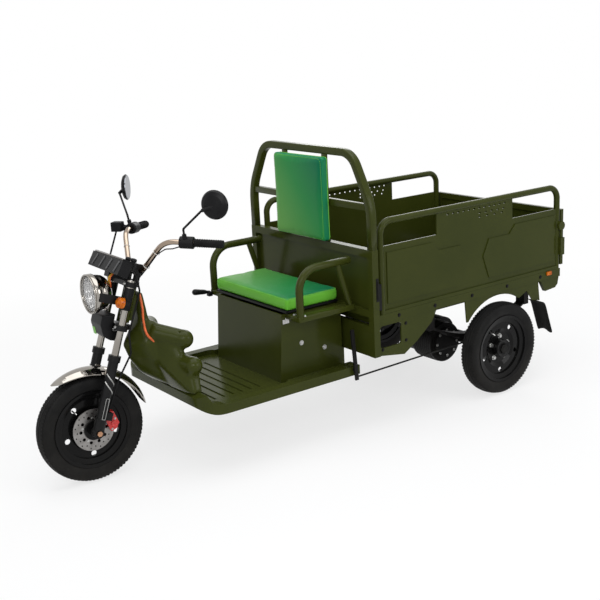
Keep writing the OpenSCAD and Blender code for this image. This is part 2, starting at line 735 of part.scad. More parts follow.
// Hoop behind the seat, with cross bar and flat bars, and the backrest cushion in front of it
hoop_x = bed_front_x + 25;
hoop_lean_z = hoop_top_z - 230;
post_top_z = board_sheet_z - 3;
hoop_top_y = 322;
module hoop() {
    outer = [[hoop_y, post_top_z], [hoop_y, hoop_lean_z], [hoop_top_y + 20, hoop_top_z - 24],
        [hoop_top_y - 20, hoop_top_z]];
    i_y = hoop_y - hoop_t;
    inner = [[i_y, post_top_z], [i_y, hoop_lean_z - 4], [hoop_top_y - 8, hoop_top_z - hoop_t - 14],
        [hoop_top_y - 30, hoop_top_z - hoop_t]];
    function left(p) = [-p[0], p[1]];
    path = concat(outer, [for (i = [3:-1:0]) left(outer[i])], [for (i = [0:3]) left(inner[i])],
        [for (i = [3:-1:0]) inner[i]]);
    color(paint) translate([hoop_x, 0, 0]) {
        rotate([90, 0, 90]) linear_extrude(hoop_t) polygon(path);
        block([4, -i_y - 1, hoop_lean_z - 30], [hoop_t - 4, i_y + 1, hoop_lean_z]);
        for (s = [-1, 1]) block([hoop_t - 10, s * 150 - 18, post_top_z],
            [hoop_t, s * 150 + 18, hoop_top_z - hoop_t + 1]);
    }
}
module backrest_cushion() {
    color(green) translate([hoop_x + hoop_t + gap, 0, back_z + back_h / 2]) rotate([90, 0, 90]) {
        linear_extrude(back_t - 10) rounded_rect(back_w, back_h, 26);
        translate([0, 0, back_t - 11]) linear_extrude(11) rounded_rect(back_w - 16, back_h - 16, 20);
    }
}

// Bulkhead between seat and bed: two posts, a top rail and a sheet
post_foot_z = rail_z - 141;
module bulkhead() {
    i_y = hoop_y - hoop_t;
    color(paint) translate([hoop_x, 0, 0]) {
        both_sides() block([0, i_y, post_foot_z], [hoop_t, hoop_y, post_top_z - gap]);
        block([0, -i_y - 1, post_top_z - 35], [hoop_t, i_y + 1, post_top_z - gap]);
        block([8, -i_y - 1, floor_z + 8], [14, i_y + 1, post_top_z - 34]);
        block([0, -i_y - 1, floor_z], [hoop_t, i_y + 1, floor_z + 30]);
    }
}

// Load bed

tube_y = bed_y - board_tube_d / 2;
module bed_floor() {
    front = hoop_x - gap;
    color(paint) {
        block([bed_rear_x, -bed_y, floor_z - 4], [front, bed_y, floor_z]);
        block([bed_rear_x, -bed_y + 33, floor_z - 1], [front, bed_y - 33, floor_z + 2]);
        both_sides() block([bed_rear_x, bed_y - 24, rail_z], [front, bed_y, floor_z - 3]);
        for (x = [bed_rear_x, -230, 130, 430, front - 30])
            block([x, -bed_y + 20, rail_z], [x + 30, bed_y - 20, floor_z - 3]);
        for (y = [-300, 0, 300]) difference() {
            union() {
                block([gate_x, y - 7, gate_hinge_z - 9.4], [bed_rear_x + 1, y + 7, gate_hinge_z - 4]);
                bar_y(gate_x, gate_hinge_z, 20, y - 7, y + 7);
            }
            bar_y(gate_x, gate_hinge_z, 2 * (gate_pin_r + run_gap), y - 10, y + 10);
        }
    }
}

slot_w = 12;
slot_h = 7;
module board_slots() {
    for (i = [0:11]) translate([324 - 34 * i, 0, board_top_z - 39]) cube([slot_w, 60, slot_h],
        center = true);
    for (i = [0:4]) translate([118 - 40 * i, 0, board_top_z - 63]) cube([slot_w, 60, slot_h],
        center = true);
    for (i = [0:3]) translate([118 - 50 * i, 0, board_top_z - 81]) cube([slot_w, 60, slot_h],
        center = true);
}
window_front = [395, 700];
window_rear = [-386, -104];
module side_board() {
    x0 = bed_rear_x + board_tube_d / 2;
    x1 = bed_front_x - board_tube_d / 2;
    z1 = board_top_z - board_tube_d / 2;
    foot = floor_z + gap;
    low = floor_z + 44;
    mid = floor_z + 154;
    high = board_sheet_z - 30;
    color(paint) difference() {
        union() {
            bent_tube([[x0, tube_y, foot], [x0, tube_y, z1], [x1, tube_y, z1], [x1, tube_y, foot]],
                board_tube_d, 58);
            block([x0, tube_y, foot], [x1, tube_y + 7, board_sheet_z]);
            block([window_rear[1], tube_y, board_sheet_z - 1], [window_front[0], tube_y + 7, z1]);
            side_plate([[x1 - 28, high], [window_front[0] + 35, high], [window_front[0] - 5, mid + 80],
                [250, mid + 80], [210, mid], [250, low], [x1 - 28, low]], tube_y + 6, tube_y + 12);
            side_plate([[x0 + 28, high], [window_rear[1] - 16, high], [window_rear[1] + 24, mid + 80],
                [60, mid + 80], [100, mid], [60, low], [x0 + 28, low]], tube_y + 6, tube_y + 12);
            block([x0, tube_y, foot], [x1, tube_y + 14, foot + 16]);
        }
        translate([0, tube_y, 0]) board_slots();
    }
}
module side_board_left() { side_board(); }
module side_board_right() { mirror([0, 1, 0]) side_board(); }

gate_x = bed_rear_x - 15;
gate_hinge_z = floor_z + 5;
gate_pin_r = 5;
module tailgate() {
    rear = bed_rear_x - 25;
    front = bed_rear_x - 5.5;
    z0 = gate_hinge_z + 12;
    color(paint) {
        block([rear + 6, -bed_y + 5, z0], [rear + 12, bed_y - 5, gate_top_z]);
        for (z = [z0, gate_top_z - 30]) block([rear, -bed_y + 5, z], [front, bed_y - 5, z + 30]);
        for (y = [-bed_y + 5, -15, bed_y - 35]) block([rear, y, z0], [front, y + 30, gate_top_z]);
        for (y = [-300, 0, 300]) {
            bar_y(gate_x, gate_hinge_z, 2 * gate_pin_r, y - 32, y + 32);
            for (s = [-1, 1]) {
                bar_y(gate_x, gate_hinge_z, 18, y + s * 20 - 12, y + s * 20 + 12);
                block([gate_x - 9, y + s * 20 - 12, gate_hinge_z], [gate_x + 9, y + s * 20 + 12, z0 + 2]);
            }
        }
    }
}
module gate_latches() {
    color(paint) both_sides() {
        bar_y(bed_rear_x + 6, floor_z + 220, 44, bed_y + gap, bed_y + 14);
        block([bed_rear_x - 12, bed_y + gap, floor_z + 72], [bed_rear_x + 16, bed_y + 16, floor_z + 160]);
        block([bed_rear_x - 2, bed_y + gap, floor_z + 154], [bed_rear_x + 10, bed_y + 10, floor_z + 204]);
    }
}
module front_latches() {
    color(black) both_sides() {
        block([bed_front_x + 3, bed_y - 8, floor_z + 26], [hoop_x - gap, bed_y + 8, floor_z + 144]);
    }
}
module side_markers() {
    color(amber) both_sides() block([bed_rear_x + 70, bed_y + gap, rail_z + 21],
        [bed_rear_x + 104, bed_y + 7, rail_z + 39]);
}
module tail_lamps() {
    color([0.7, 0.05, 0.05]) both_sides() block([bed_rear_x + 2, spring_y + 32, rail_z - 45],
        [bed_rear_x + 24, bed_y - 28, rail_z - gap]);
}

// Plates below the bed's side rail
module side_plates() {
    top = rail_z - gap;
    color(paint) both_sides() difference() {
        side_plate([[hoop_x - gap, top], [hoop_x - gap, rail_z - 144], [hoop_x - 157, rail_z - 169],
            [hoop_x - 238, rail_z - 121], [hoop_x - 327, rail_z - 54], [hoop_x - 360, top]], bed_y - 9,
                bed_y - 2);
        translate([hoop_x - 78, bed_y, rail_z - 62]) rotate([90, 0, 0]) linear_extrude(60, center = true)
            rounded_rect(124, 102, 14);
    }
}
arch_r = tyre_r + 35;
module wheel_arches() {
    top = rail_z - gap;
    color(paint) both_sides()
        side_plate(concat([[222, top], [212, 398]], arc([0, tyre_r], arch_r, 40, 124, 14),
            [[-205, 474], [-247, 417], [-300, 406], [-288, top]]), bed_y - 10, bed_y - 3);
}
module mudflaps() {
    color(rubber) both_sides() side_plate([[-262, 413.5], [-292, 407.2],
        [-318, 330], [-352, 236], [-346, 236], [-310, 330], [-285, 402], [-262, 407]], 388, 486);
}
module rear_gussets() {
    color(paint) both_sides() side_plate([[bed_rear_x + 2, rail_z - gap], [bed_rear_x + 10, rail_z - 39],
        [bed_rear_x + 28, rail_z - 55], [bed_rear_x + 103, rail_z - 61], [bed_rear_x + 140, rail_z - gap]],
        bed_y - 25, bed_y - 6);
}

// Frame

spring_y = 300;
rail_h = 50;
cross_x = hoop_x + 8;
cross_t = 24;
module bed_rails() {
    color(black) both_sides() block([bed_rear_x + 20, spring_y - 25, rail_z - rail_h],
        [cross_x - gap, spring_y + 25, rail_z - gap]);
}
module front_cross_frame() {
    i_y = hoop_y - hoop_t - 1;
    color(paint) {
        block([cross_x, -i_y, post_foot_z], [cross_x + cross_t, i_y, rail_z - gap]);
        both_sides() block([cross_x, 170, deck_z - 40], [cross_x + cross_t, 210, post_foot_z + 2]);
    }
}
module deck_rails() {
    color(black) both_sides() block([cross_x + cross_t + gap, 170, deck_z - 40], [deck_front_x - 120, 210,
        deck_z - gap]);
}

// Rear axle with its gear case, motor, springs

module rear_axle() {
    color(black) translate([0, 0, tyre_r]) {
        bar_y(0, 0, 60, -wheel_y + 59, wheel_y - 59);
        bar_y(0, 0, 150, -22, 58);
        bar_y(115, -4, 160, -22, 58);
        block([0, -22, -70], [115, 58, 68]);
        both_sides() {
            bar_y(0, 0, 148, wheel_y - 65, wheel_y - 54);
            bar_y(0, 0, 2 * spindle_r, wheel_y - 65, wheel_y + 42);
            translate([0, wheel_y + 35, 0]) rotate([-90, 0, 0]) cylinder(r = 24, h = 6, $fn = 6);
        }
    }
}
module drive_motor() {
    color(black) difference() {
        union() {
            bar_y(115, tyre_r - 4, 200, 58 + gap, 190);
            bar_y(115, tyre_r - 4, 150, 189, 206);
        }
        bar_y(0, tyre_r, 60 + 2 * gap + 2, 50, 210);
    }
}
module leaf_springs() {
    z0 = tyre_r + 30 + gap;
    reach = 330;
    rise = 92;
    function leaf(h, k) = [for (i = [-8:8]) let (x = k * reach * i / 8) [x,
        z0 + h + rise * (x / reach) * (x / reach)]];
    function back(p) = [for (i = [len(p) - 1:-1:0]) p[i]];
    color(black) both_sides() {
        side_plate(concat(leaf(0, 0.45), back(leaf(10, 0.45))), spring_y - 25, spring_y + 25);
        side_plate(concat(leaf(9, 0.7), back(leaf(19, 0.7))), spring_y - 25, spring_y + 25);
        side_plate(concat(leaf(18, 1), back(leaf(28, 1))), spring_y - 25, spring_y + 25);
        for (s = [-1, 1]) block([s * reach - 16, spring_y - 28, z0 + rise + 8],
            [s * reach + 16, spring_y + 28, rail_z - rail_h - gap]);
    }
}
module brake_arm() {
    y = deck_y + 15;
    x = box_rear_x + 10;
    color(black) {
        side_plate([[x - 1, deck_z - 19], [x + 17, deck_z - 19], [x + 36, deck_z + 219], [x + 18,
            deck_z + 219]],
            y - 4, y + 4);
        bar_y(x + 11, deck_z + 28, 16, deck_y + gap, y);
        rod([x + 8, y, deck_z - 4], [95, y, tyre_r + 51], 8);
        block([60, y - 9, tyre_r + 39], [100, y - gap, tyre_r + 63]);
    }
}
module hand_brake() {
    y = -armrest_y - 5;
    x = arm_front_x + 16;
    color(black) {
        block([x + gap, y - 12, arm_base_z - 30], [x + 22, y + 12, arm_base_z - 9]);
        rod([x + 12, y, arm_base_z - 8], [x + 84, y, arm_base_z + 4], 13);
        translate([x + 90, y, arm_base_z + 5]) sphere(d = 30);
    }
}

place() front_tyre();
place() front_rim();
place() brake_disc();
place() rear_tyre_left();
place() rear_rim_left();
place() rear_tyre_right();
place() rear_rim_right();
place() front_axle_pin();
place() fork_sliders();
place() fork_tubes();
place() fork_stem();
place() front_fender();
place() brake_caliper();
place() headlight_shell();
place() headlight_lens();
place() lamp_brackets();
place() indicators();
place() display_unit();
place() control_box();
place() handlebar();
place() grips();
place() hand_controls();
place() mirrors();
place() mirror_glasses();
place() brake_hose();
place() head_tube();
place() leg_shield();
place() cable_loom();
place() foot_deck();
place() seat_box();
place() battery_block();
place() seat_lid();
place() seat_cushion();
place() armrests();
place() hoop();
place() backrest_cushion();
place() bulkhead();
place() bed_floor();
place() side_board_left();
place() side_board_right();
place() tailgate();
place() gate_latches();
place() front_latches();
place() side_markers();
place() tail_lamps();
place() side_plates();
place() wheel_arches();
place() mudflaps();
place() rear_gussets();
place() bed_rails();
place() front_cross_frame();
place() deck_rails();
place() rear_axle();
place() drive_motor();
place() leaf_springs();
place() brake_arm();
place() hand_brake();
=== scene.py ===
# %% [markdown]
# An electric cargo tricycle, dressed for a studio picture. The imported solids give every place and
# size, so this lesson adds what solids leave out: paint, rubber, chrome, stuffed vinyl, tread,
# fasteners and small trim.

# %% Load the frame
import json
import math
import bmesh
import bpy
from mathutils import Matrix, Vector
from mathutils.bvhtree import BVHTree


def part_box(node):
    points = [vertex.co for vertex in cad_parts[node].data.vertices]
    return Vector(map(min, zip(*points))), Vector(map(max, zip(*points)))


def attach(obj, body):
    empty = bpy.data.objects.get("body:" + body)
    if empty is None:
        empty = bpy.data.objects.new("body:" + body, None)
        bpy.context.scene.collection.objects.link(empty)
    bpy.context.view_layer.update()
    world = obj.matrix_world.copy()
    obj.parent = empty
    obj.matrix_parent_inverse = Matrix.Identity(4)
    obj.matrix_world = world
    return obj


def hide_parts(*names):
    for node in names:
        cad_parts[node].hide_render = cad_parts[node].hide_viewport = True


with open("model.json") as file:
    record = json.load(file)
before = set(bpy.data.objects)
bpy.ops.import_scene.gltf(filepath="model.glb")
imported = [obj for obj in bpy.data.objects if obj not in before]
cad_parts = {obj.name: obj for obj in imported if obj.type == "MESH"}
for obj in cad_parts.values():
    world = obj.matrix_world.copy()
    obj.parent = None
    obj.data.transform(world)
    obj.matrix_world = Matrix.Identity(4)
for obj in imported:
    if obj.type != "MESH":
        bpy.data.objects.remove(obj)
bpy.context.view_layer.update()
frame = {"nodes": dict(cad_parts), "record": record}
nodes = frame["nodes"]
scene = bpy.context.scene
print("solids loaded:", len(nodes))

# %% [markdown]
# The numbers of the solids count from the rear axle in millimetres, and Blender works in metres from
# the middle of the vehicle. Two small helpers do that step once: one for the frame, one for what
# turns with the fork. The front end stands a few degrees to the right, so the second helper turns
# each point about the steering axis.

# %% Places on the vehicle
REAR_AXLE = -0.8615
WHEEL_BASE = 1.967
TYRE_RADIUS = 0.229
FORK_OFFSET = 0.040
RAKE = math.radians(19.6)
STEER_REST = math.radians(-3.7)
LEFT, UP, FORWARD = Vector((0, 1, 0)), Vector((0, 0, 1)), Vector((1, 0, 0))
FRONT_AXLE = Vector((REAR_AXLE + WHEEL_BASE, 0, TYRE_RADIUS))
AXIS = Vector((-math.sin(RAKE), 0, math.cos(RAKE)))
AXIS_FOOT = FRONT_AXLE - FORK_OFFSET * Vector((math.cos(RAKE), 0, math.sin(RAKE)))
TURNED = Matrix.Rotation(STEER_REST, 4, AXIS)
STEERED = Matrix.Translation(AXIS_FOOT) @ TURNED @ Matrix.Translation(-AXIS_FOOT)
STRAIGHT = Matrix.Translation(FRONT_AXLE) @ Matrix.Rotation(-RAKE, 4, "Y")
FORK = STEERED @ STRAIGHT


def on_frame(x, y, z):
    return Vector((x / 1000 + REAR_AXLE, y / 1000, z / 1000))


def on_fork(x, y, z):
    return FORK @ Vector((x / 1000, y / 1000, z / 1000))


print("front axle at", [round(v, 3) for v in STEERED @ FRONT_AXLE])

# %% [markdown]
# The camera stands to the front left, a little above eye level of the seat, and looks down on the
# deck. Its place and length came from matching tyres, bed and hoop with the photograph, so it is
# written as a matrix.

# %% Camera
lens = bpy.data.cameras.new("camera")
lens.sensor_width = 36
lens.lens = 62.23
lens.clip_end = 50
camera = bpy.data.objects.new("camera", lens)
scene.collection.objects.link(camera)
right, up = (-0.80216, 0.59506, -0.04943), (-0.19310, -0.18019, 0.96449)
ahead = (-0.56503, -0.78322, -0.25944)
camera.matrix_world = Matrix((
    (right[0], up[0], -ahead[0], 2.74209),
    (right[1], up[1], -ahead[1], 3.80156),
    (right[2], up[2], -ahead[2], 1.81621),
    (0, 0, 0, 1)))
scene.camera = camera
print("camera at", [round(v, 3) for v in camera.location])

# %% [markdown]
# Soft panels light the part: a large one above, two from the front left and a weaker one from behind.
# Two small panels beside the camera give the glossy paint its bright points. The sky is dim for the
# part itself and white for the camera, for mirror-like metal and for glass, so the picture has a white
# ground. The floor is a pale sheet that keeps the shadow. Node trees come back in every later step, so
# three helpers add a node, set its plain values and join it to others.

# %% Studio
scene.view_settings.view_transform = "Standard"


def panel(name, place, aim, size, watts):
    light = bpy.data.lights.new(name, "AREA")
    light.shape = "RECTANGLE"
    light.size, light.size_y = size
    light.energy = watts
    lamp = bpy.data.objects.new(name, light)
    scene.collection.objects.link(lamp)
    lamp.location = place
    lamp.rotation_euler = (Vector(aim) - Vector(place)).to_track_quat("-Z", "Y").to_euler()


def put(node, values):
    for socket, value in values.items():
        node.inputs[socket].default_value = value


def add(tree, kind, values=None, **settings):
    """Adds a node, with its own settings and the plain values of its inputs."""
    node = tree.nodes.new(kind)
    for label, value in settings.items():
        setattr(node, label, value)
    put(node, values or {})
    return node


def link(tree, *joints):
    """Joins nodes: each joint is (node, its output, next node, its input)."""
    for source, out, target, into in joints:
        tree.links.new(source.outputs[out], target.inputs[into])


def blank(name):
    """A new material, with its tree and its shader."""
    material = bpy.data.materials.new(name)
    material.use_nodes = True
    return material, material.node_tree, material.node_tree.nodes["Principled BSDF"]


def placed(name, data):
    thing = bpy.data.objects.new(name, data)
    scene.collection.objects.link(thing)
    return thing


def light_path_mix(tree, plain, shown):
    """A mix of two shaders: the second for the eye, for mirrors and for glass."""
    path = add(tree, "ShaderNodeLightPath")
    most = add(tree, "ShaderNodeMath", operation="MAXIMUM")
    both = add(tree, "ShaderNodeMath", operation="MAXIMUM")
    mix = add(tree, "ShaderNodeMixShader")
    link(tree, (path, "Is Camera Ray", most, 0), (path, "Is Glossy Ray", most, 1),
         (most, 0, both, 0), (path, "Is Transmission Ray", both, 1),
         (both, 0, mix, 0), (plain, 0, mix, 1), (shown, 0, mix, 2))
    return mix


SEAT_HEIGHT = (0.3, 0, 0.5)
POINT = (0.28, 0.28)
panel("panel_top", (0.2, 0.4, 4.2), (0, 0, 0.4), (4.5, 3.5), 120)
panel("panel_front", (3.6, 3.0, 2.6), SEAT_HEIGHT, (2.6, 2.2), 44)
panel("point_left", (2.9, 3.3, 3.0), SEAT_HEIGHT, POINT, 11)
panel("point_right", (2.2, 3.9, 3.0), SEAT_HEIGHT, POINT, 11)
panel("panel_side", (-1.8, 4.4, 2.2), (-0.4, 0, 0.5), (2.6, 1.8), 52)
panel("panel_back", (-3.2, -2.6, 2.6), (-0.2, 0, 0.6), (2.4, 1.6), 40)

sky = bpy.data.worlds.new("studio")
scene.world = sky
sky.use_nodes = True
tree = sky.node_tree
tree.nodes.clear()
dim = add(tree, "ShaderNodeBackground", {"Color": (0.95, 0.97, 1.0, 1), "Strength": 0.42})
white = add(tree, "ShaderNodeBackground", {"Color": (1, 1, 1, 1), "Strength": 1.0})
end = add(tree, "ShaderNodeOutputWorld")
link(tree, (light_path_mix(tree, dim, white), 0, end, "Surface"))

FLOOR_REACH, FLOOR_Z = 9, -0.001
corners = ((-1, -1), (1, -1), (1, 1), (-1, 1))
mesh = bpy.data.meshes.new("floor")
mesh.from_pydata([(x * FLOOR_REACH, y * FLOOR_REACH, FLOOR_Z) for x, y in corners], [], [(0, 1, 2, 3)])
floor = placed("floor", mesh)
sheet, tree, matt = blank("studio_floor")
put(matt, {"Base Color": (0.86, 0.86, 0.86, 1), "Roughness": 0.9})
glow = add(tree, "ShaderNodeEmission", {"Strength": 1.0})
blend = add(tree, "ShaderNodeMixShader")
place = add(tree, "ShaderNodeTexCoord")
reach = add(tree, "ShaderNodeVectorMath", operation="LENGTH")
fade = add(tree, "ShaderNodeMapRange", {"From Min": 1.2, "From Max": 3.4, "To Min": 0.72, "To Max": 1.0})
link(tree, (place, "Object", reach, 0), (reach, "Value", fade, "Value"), (fade, "Result", blend, 0),
     (matt, 0, blend, 1), (glow, 0, blend, 2))
link(tree, (light_path_mix(tree, matt, blend), 0, tree.nodes["Material Output"], "Surface"))
floor.data.materials.append(sheet)
print("studio: six panels and a floor")

# %% [markdown]
# Most surfaces share a few effects: a slow drift of tone, a fine grain for the bump and dust that
# gathers near the road. Each is built once as a group, with its own values in each finish. All of
# them read Object coordinates, which stay with the piece.

# %% Shared shader groups
COLOR, FLOAT = "NodeSocketColor", "NodeSocketFloat"
MIX_A, MIX_B, MIX_RESULT = 6, 7, 2


def sockets(group, side, rows):
    for label, kind, value in rows:
        socket = group.interface.new_socket(name=label, in_out=side, socket_type=kind)
        if value is not None:
            socket.default_value = value


def shader_group(name, takes, gives):
    group = bpy.data.node_groups.new(name, "ShaderNodeTree")
    sockets(group, "INPUT", takes)
    sockets(group, "OUTPUT", [(label, kind, None) for label, kind in gives])
    return group, group.nodes.new("NodeGroupInput"), group.nodes.new("NodeGroupOutput")


def noise_in(group, detail, scale=None, take=None):
    """A noise with a plain scale, or with the one that the group takes."""
    place = add(group, "ShaderNodeTexCoord")
    cloud = add(group, "ShaderNodeTexNoise", {"Detail": detail})
    link(group, (place, "Object", cloud, "Vector"))
    if scale:
        put(cloud, {"Scale": scale})
    else:
        link(group, (take, "Scale", cloud, "Scale"))
    return cloud


tone, take, give = shader_group(
    "tone_drift",
    [("Color", COLOR, (0.1, 0.1, 0.1, 1)), ("Second Color", COLOR, (0.2, 0.2, 0.2, 1)),
     ("Scale", FLOAT, 6.0)],
    [("Color", COLOR), ("Mask", FLOAT)])
cloud = noise_in(tone, 5, take=take)
ramp = add(tone, "ShaderNodeValToRGB")
ramp.color_ramp.elements[0].position = 0.38
ramp.color_ramp.elements[1].position = 0.66
mix = add(tone, "ShaderNodeMix", data_type="RGBA")
link(tone, (cloud, "Fac", ramp, "Fac"), (ramp, "Color", mix, 0), (take, "Color", mix, MIX_A),
     (take, "Second Color", mix, MIX_B), (mix, MIX_RESULT, give, "Color"), (ramp, "Color", give, "Mask"))

grain, take, give = shader_group(
    "fine_grain",
    [("Scale", FLOAT, 300.0), ("Low", FLOAT, 0.3), ("High", FLOAT, 0.5)],
    [("Height", FLOAT), ("Roughness", FLOAT)])
cloud = noise_in(grain, 3, take=take)
wide = noise_in(grain, 4, scale=9)
spread = add(grain, "ShaderNodeMapRange", {"From Min": 0.3, "From Max": 0.7})
link(grain, (wide, "Fac", spread, "Value"), (take, "Low", spread, "To Min"), (take, "High", spread, "To Max"),
     (cloud, "Fac", give, "Height"), (spread, "Result", give, "Roughness"))

dust, take, give = shader_group(
    "road_dust",
    [("Color", COLOR, (0.1, 0.1, 0.1, 1)), ("Dust Color", COLOR, (0.16, 0.14, 0.11, 1)),
     ("Reach", FLOAT, 0.45), ("Amount", FLOAT, 0.25)],
    [("Color", COLOR), ("Mask", FLOAT)])
place = add(dust, "ShaderNodeTexCoord")
axes = add(dust, "ShaderNodeSeparateXYZ")
fall = add(dust, "ShaderNodeMapRange", {"To Min": 1.0, "To Max": 0.0})
cloud = noise_in(dust, 6, scale=26)
both = add(dust, "ShaderNodeMath", operation="MULTIPLY")
share = add(dust, "ShaderNodeMath", operation="MULTIPLY")
mix = add(dust, "ShaderNodeMix", data_type="RGBA")
link(dust, (place, "Object", axes, 0), (axes, "Z", fall, "Value"), (take, "Reach", fall, "From Max"),
     (fall, "Result", both, 0), (cloud, "Fac", both, 1), (both, 0, share, 0), (take, "Amount", share, 1),
     (share, 0, mix, 0), (take, "Color", mix, MIX_A), (take, "Dust Color", mix, MIX_B),
     (mix, MIX_RESULT, give, "Color"), (share, 0, give, "Mask"))
print("shader groups:", [g.name for g in bpy.data.node_groups])

# %% [markdown]
# A finish is a Principled shader in the material itself, fed by those groups. One recipe covers paint,
# rubber, plastic and metal, because on this vehicle they differ in colour, gloss, grain and dust, and
# not in their build.

# %% Finishes


def grained(t, shader, scale, rough, bump, depth):
    """Feeds roughness and a bump from the grain to a shader."""
    fine = add(t, "ShaderNodeGroup", node_tree=grain)
    put(fine, {"Scale": scale, "Low": rough[0], "High": rough[1]})
    relief = add(t, "ShaderNodeBump", {"Strength": bump, "Distance": depth})
    link(t, (fine, "Roughness", shader, "Roughness"), (fine, "Height", relief, "Height"),
         (relief, "Normal", shader, "Normal"))


def finish(name, color, second, drift=6.0, rough=(0.3, 0.45), metal=0.0, coat=0.0, grain_scale=300.0,
           bump=0.05, depth=0.0004, dusty=0.0, reach=0.45, specular=0.5):
    material, t, shader = blank(name)
    tint = add(t, "ShaderNodeGroup", node_tree=tone)
    put(tint, {"Color": (*color, 1), "Second Color": (*second, 1), "Scale": drift})
    if dusty > 0:
        road = add(t, "ShaderNodeGroup", node_tree=dust)
        put(road, {"Reach": reach, "Amount": dusty})
        link(t, (tint, "Color", road, "Color"), (road, "Color", shader, "Base Color"))
    else:
        link(t, (tint, "Color", shader, "Base Color"))
    grained(t, shader, grain_scale, rough, bump, depth)
    put(shader, {"Metallic": metal, "Coat Weight": coat, "Coat Roughness": 0.08})
    put(shader, {"Specular IOR Level": specular})
    return material


looks = {
    "olive_paint": finish("olive_paint", (0.036, 0.043, 0.0065), (0.031, 0.038, 0.0055), 4, (0.17, 0.27),
                          grain_scale=420, depth=0.0003, dusty=0.04, reach=0.4, specular=0.11),
    "tyre": finish("tyre_rubber", (0.0055, 0.0055, 0.0056), (0.010, 0.0098, 0.0094), 14, (0.52, 0.7),
                   grain_scale=700, bump=0.16, dusty=0.08, reach=0.4, specular=0.10),
    "rim_black": finish("rim_black", (0.004, 0.004, 0.0042), (0.006, 0.006, 0.006), 8, (0.07, 0.15),
                        grain_scale=500, dusty=0.03, specular=0.11),
    "disc_steel": finish("disc_steel", (0.30, 0.29, 0.28), (0.22, 0.21, 0.20), 30, (0.30, 0.44), metal=1.0,
                         grain_scale=900, bump=0.12, depth=0.0002),
    "chrome": finish("chrome", (0.36, 0.34, 0.31), (0.26, 0.24, 0.215), 7, (0.05, 0.14), metal=1.0,
                     grain_scale=200, bump=0.02, depth=0.0002),
    "axle_steel": finish("copper_nut", (0.52, 0.30, 0.18), (0.42, 0.23, 0.14), 60, (0.25, 0.4), metal=1.0,
                         grain_scale=800),
    "slider_black": finish("slider_black", (0.007, 0.007, 0.0075), (0.011, 0.011, 0.011), 20, (0.3, 0.45),
                           grain_scale=650, bump=0.12, dusty=0.04, specular=0.12),
    "caliper_red": finish("caliper_red", (0.55, 0.010, 0.008), (0.42, 0.008, 0.006), 25, (0.24, 0.36),
                          coat=0.3, grain_scale=500, bump=0.08),
    "amber": finish("amber", (0.60, 0.145, 0.002), (0.34, 0.060, 0.001), 70, (0.05, 0.12), grain_scale=210,
                    bump=0.4, depth=0.0010, specular=0.22),
    "black_plastic": finish("black_plastic", (0.0055, 0.0055, 0.006), (0.009, 0.009, 0.0095), 16,
                            (0.32, 0.46), grain_scale=850, bump=0.16, depth=0.0003, specular=0.12),
    "grip_rubber": finish("grip_rubber", (0.006, 0.006, 0.006), (0.010, 0.010, 0.010), 30, (0.55, 0.75),
                          grain_scale=500, bump=0.3, specular=0.10),
    "lamp_red": finish("lamp_red", (0.34, 0.008, 0.008), (0.26, 0.006, 0.006), 40, (0.12, 0.2), coat=0.5,
                       grain_scale=240, bump=0.25, depth=0.0008),
    "frame_black": finish("frame_black", (0.006, 0.006, 0.006), (0.010, 0.0096, 0.009), 10, (0.38, 0.55),
                          grain_scale=420, bump=0.12, dusty=0.05, specular=0.10),
    "loom_orange": finish("loom_orange", (0.72, 0.13, 0.03), (0.56, 0.10, 0.02), 50, (0.4, 0.55),
                          grain_scale=420, bump=0.3, depth=0.0006),
    "mirror": finish("mirror", (0.22, 0.23, 0.25), (0.20, 0.21, 0.23), 5, (0.01, 0.03), metal=1.0,
                     grain_scale=60, bump=0.01),
}
bronze = finish("bar_bronze", (0.36, 0.285, 0.22), (0.27, 0.215, 0.17), 9, (0.1, 0.22), metal=1.0,
                bump=0.03, depth=0.0002)
zinc = finish("zinc", (0.50, 0.50, 0.49), (0.38, 0.38, 0.37), 70, (0.25, 0.42), metal=1.0, grain_scale=700,
              bump=0.1)
print("finishes so far:", len(looks) + 2)

# %% [markdown]
# The headlight glass is clear with pressed ribs, so it keeps a plain transmission and gets its ribs
# from a wave in the bump. The bright bowl behind it comes later.

# %% Headlight glass
glass, t, shader = blank("lens_glass")
put(shader, {"Base Color": (0.95, 0.96, 0.97, 1), "Transmission Weight": 1.0, "Roughness": 0.03, "IOR": 1.45})
place = add(t, "ShaderNodeTexCoord")
ribs = add(t, "ShaderNodeTexWave", {"Scale": 14, "Distortion": 1.2}, bands_direction="Y")
relief = add(t, "ShaderNodeBump", {"Strength": 0.35, "Distance": 0.002})
link(t, (place, "Object", ribs, "Vector"), (ribs, "Fac", relief, "Height"),
     (relief, "Normal", shader, "Normal"))
looks["lens"] = glass
print("headlight glass:", glass.name)

# %% [markdown]
# The seat covers are smooth vinyl whose top runs from a pale leaf green to teal, with bright lime side
# panels on the seat. The drift along the seat is a ramp on Object coordinates, and the side colour
# follows an attribute that each cover gets later from the direction of its faces.

# %% Seat vinyl
LEAF, GREEN, TEAL = (0.115, 0.315, 0.065, 1), (0.020, 0.215, 0.050, 1), (0.001, 0.125, 0.056, 1)


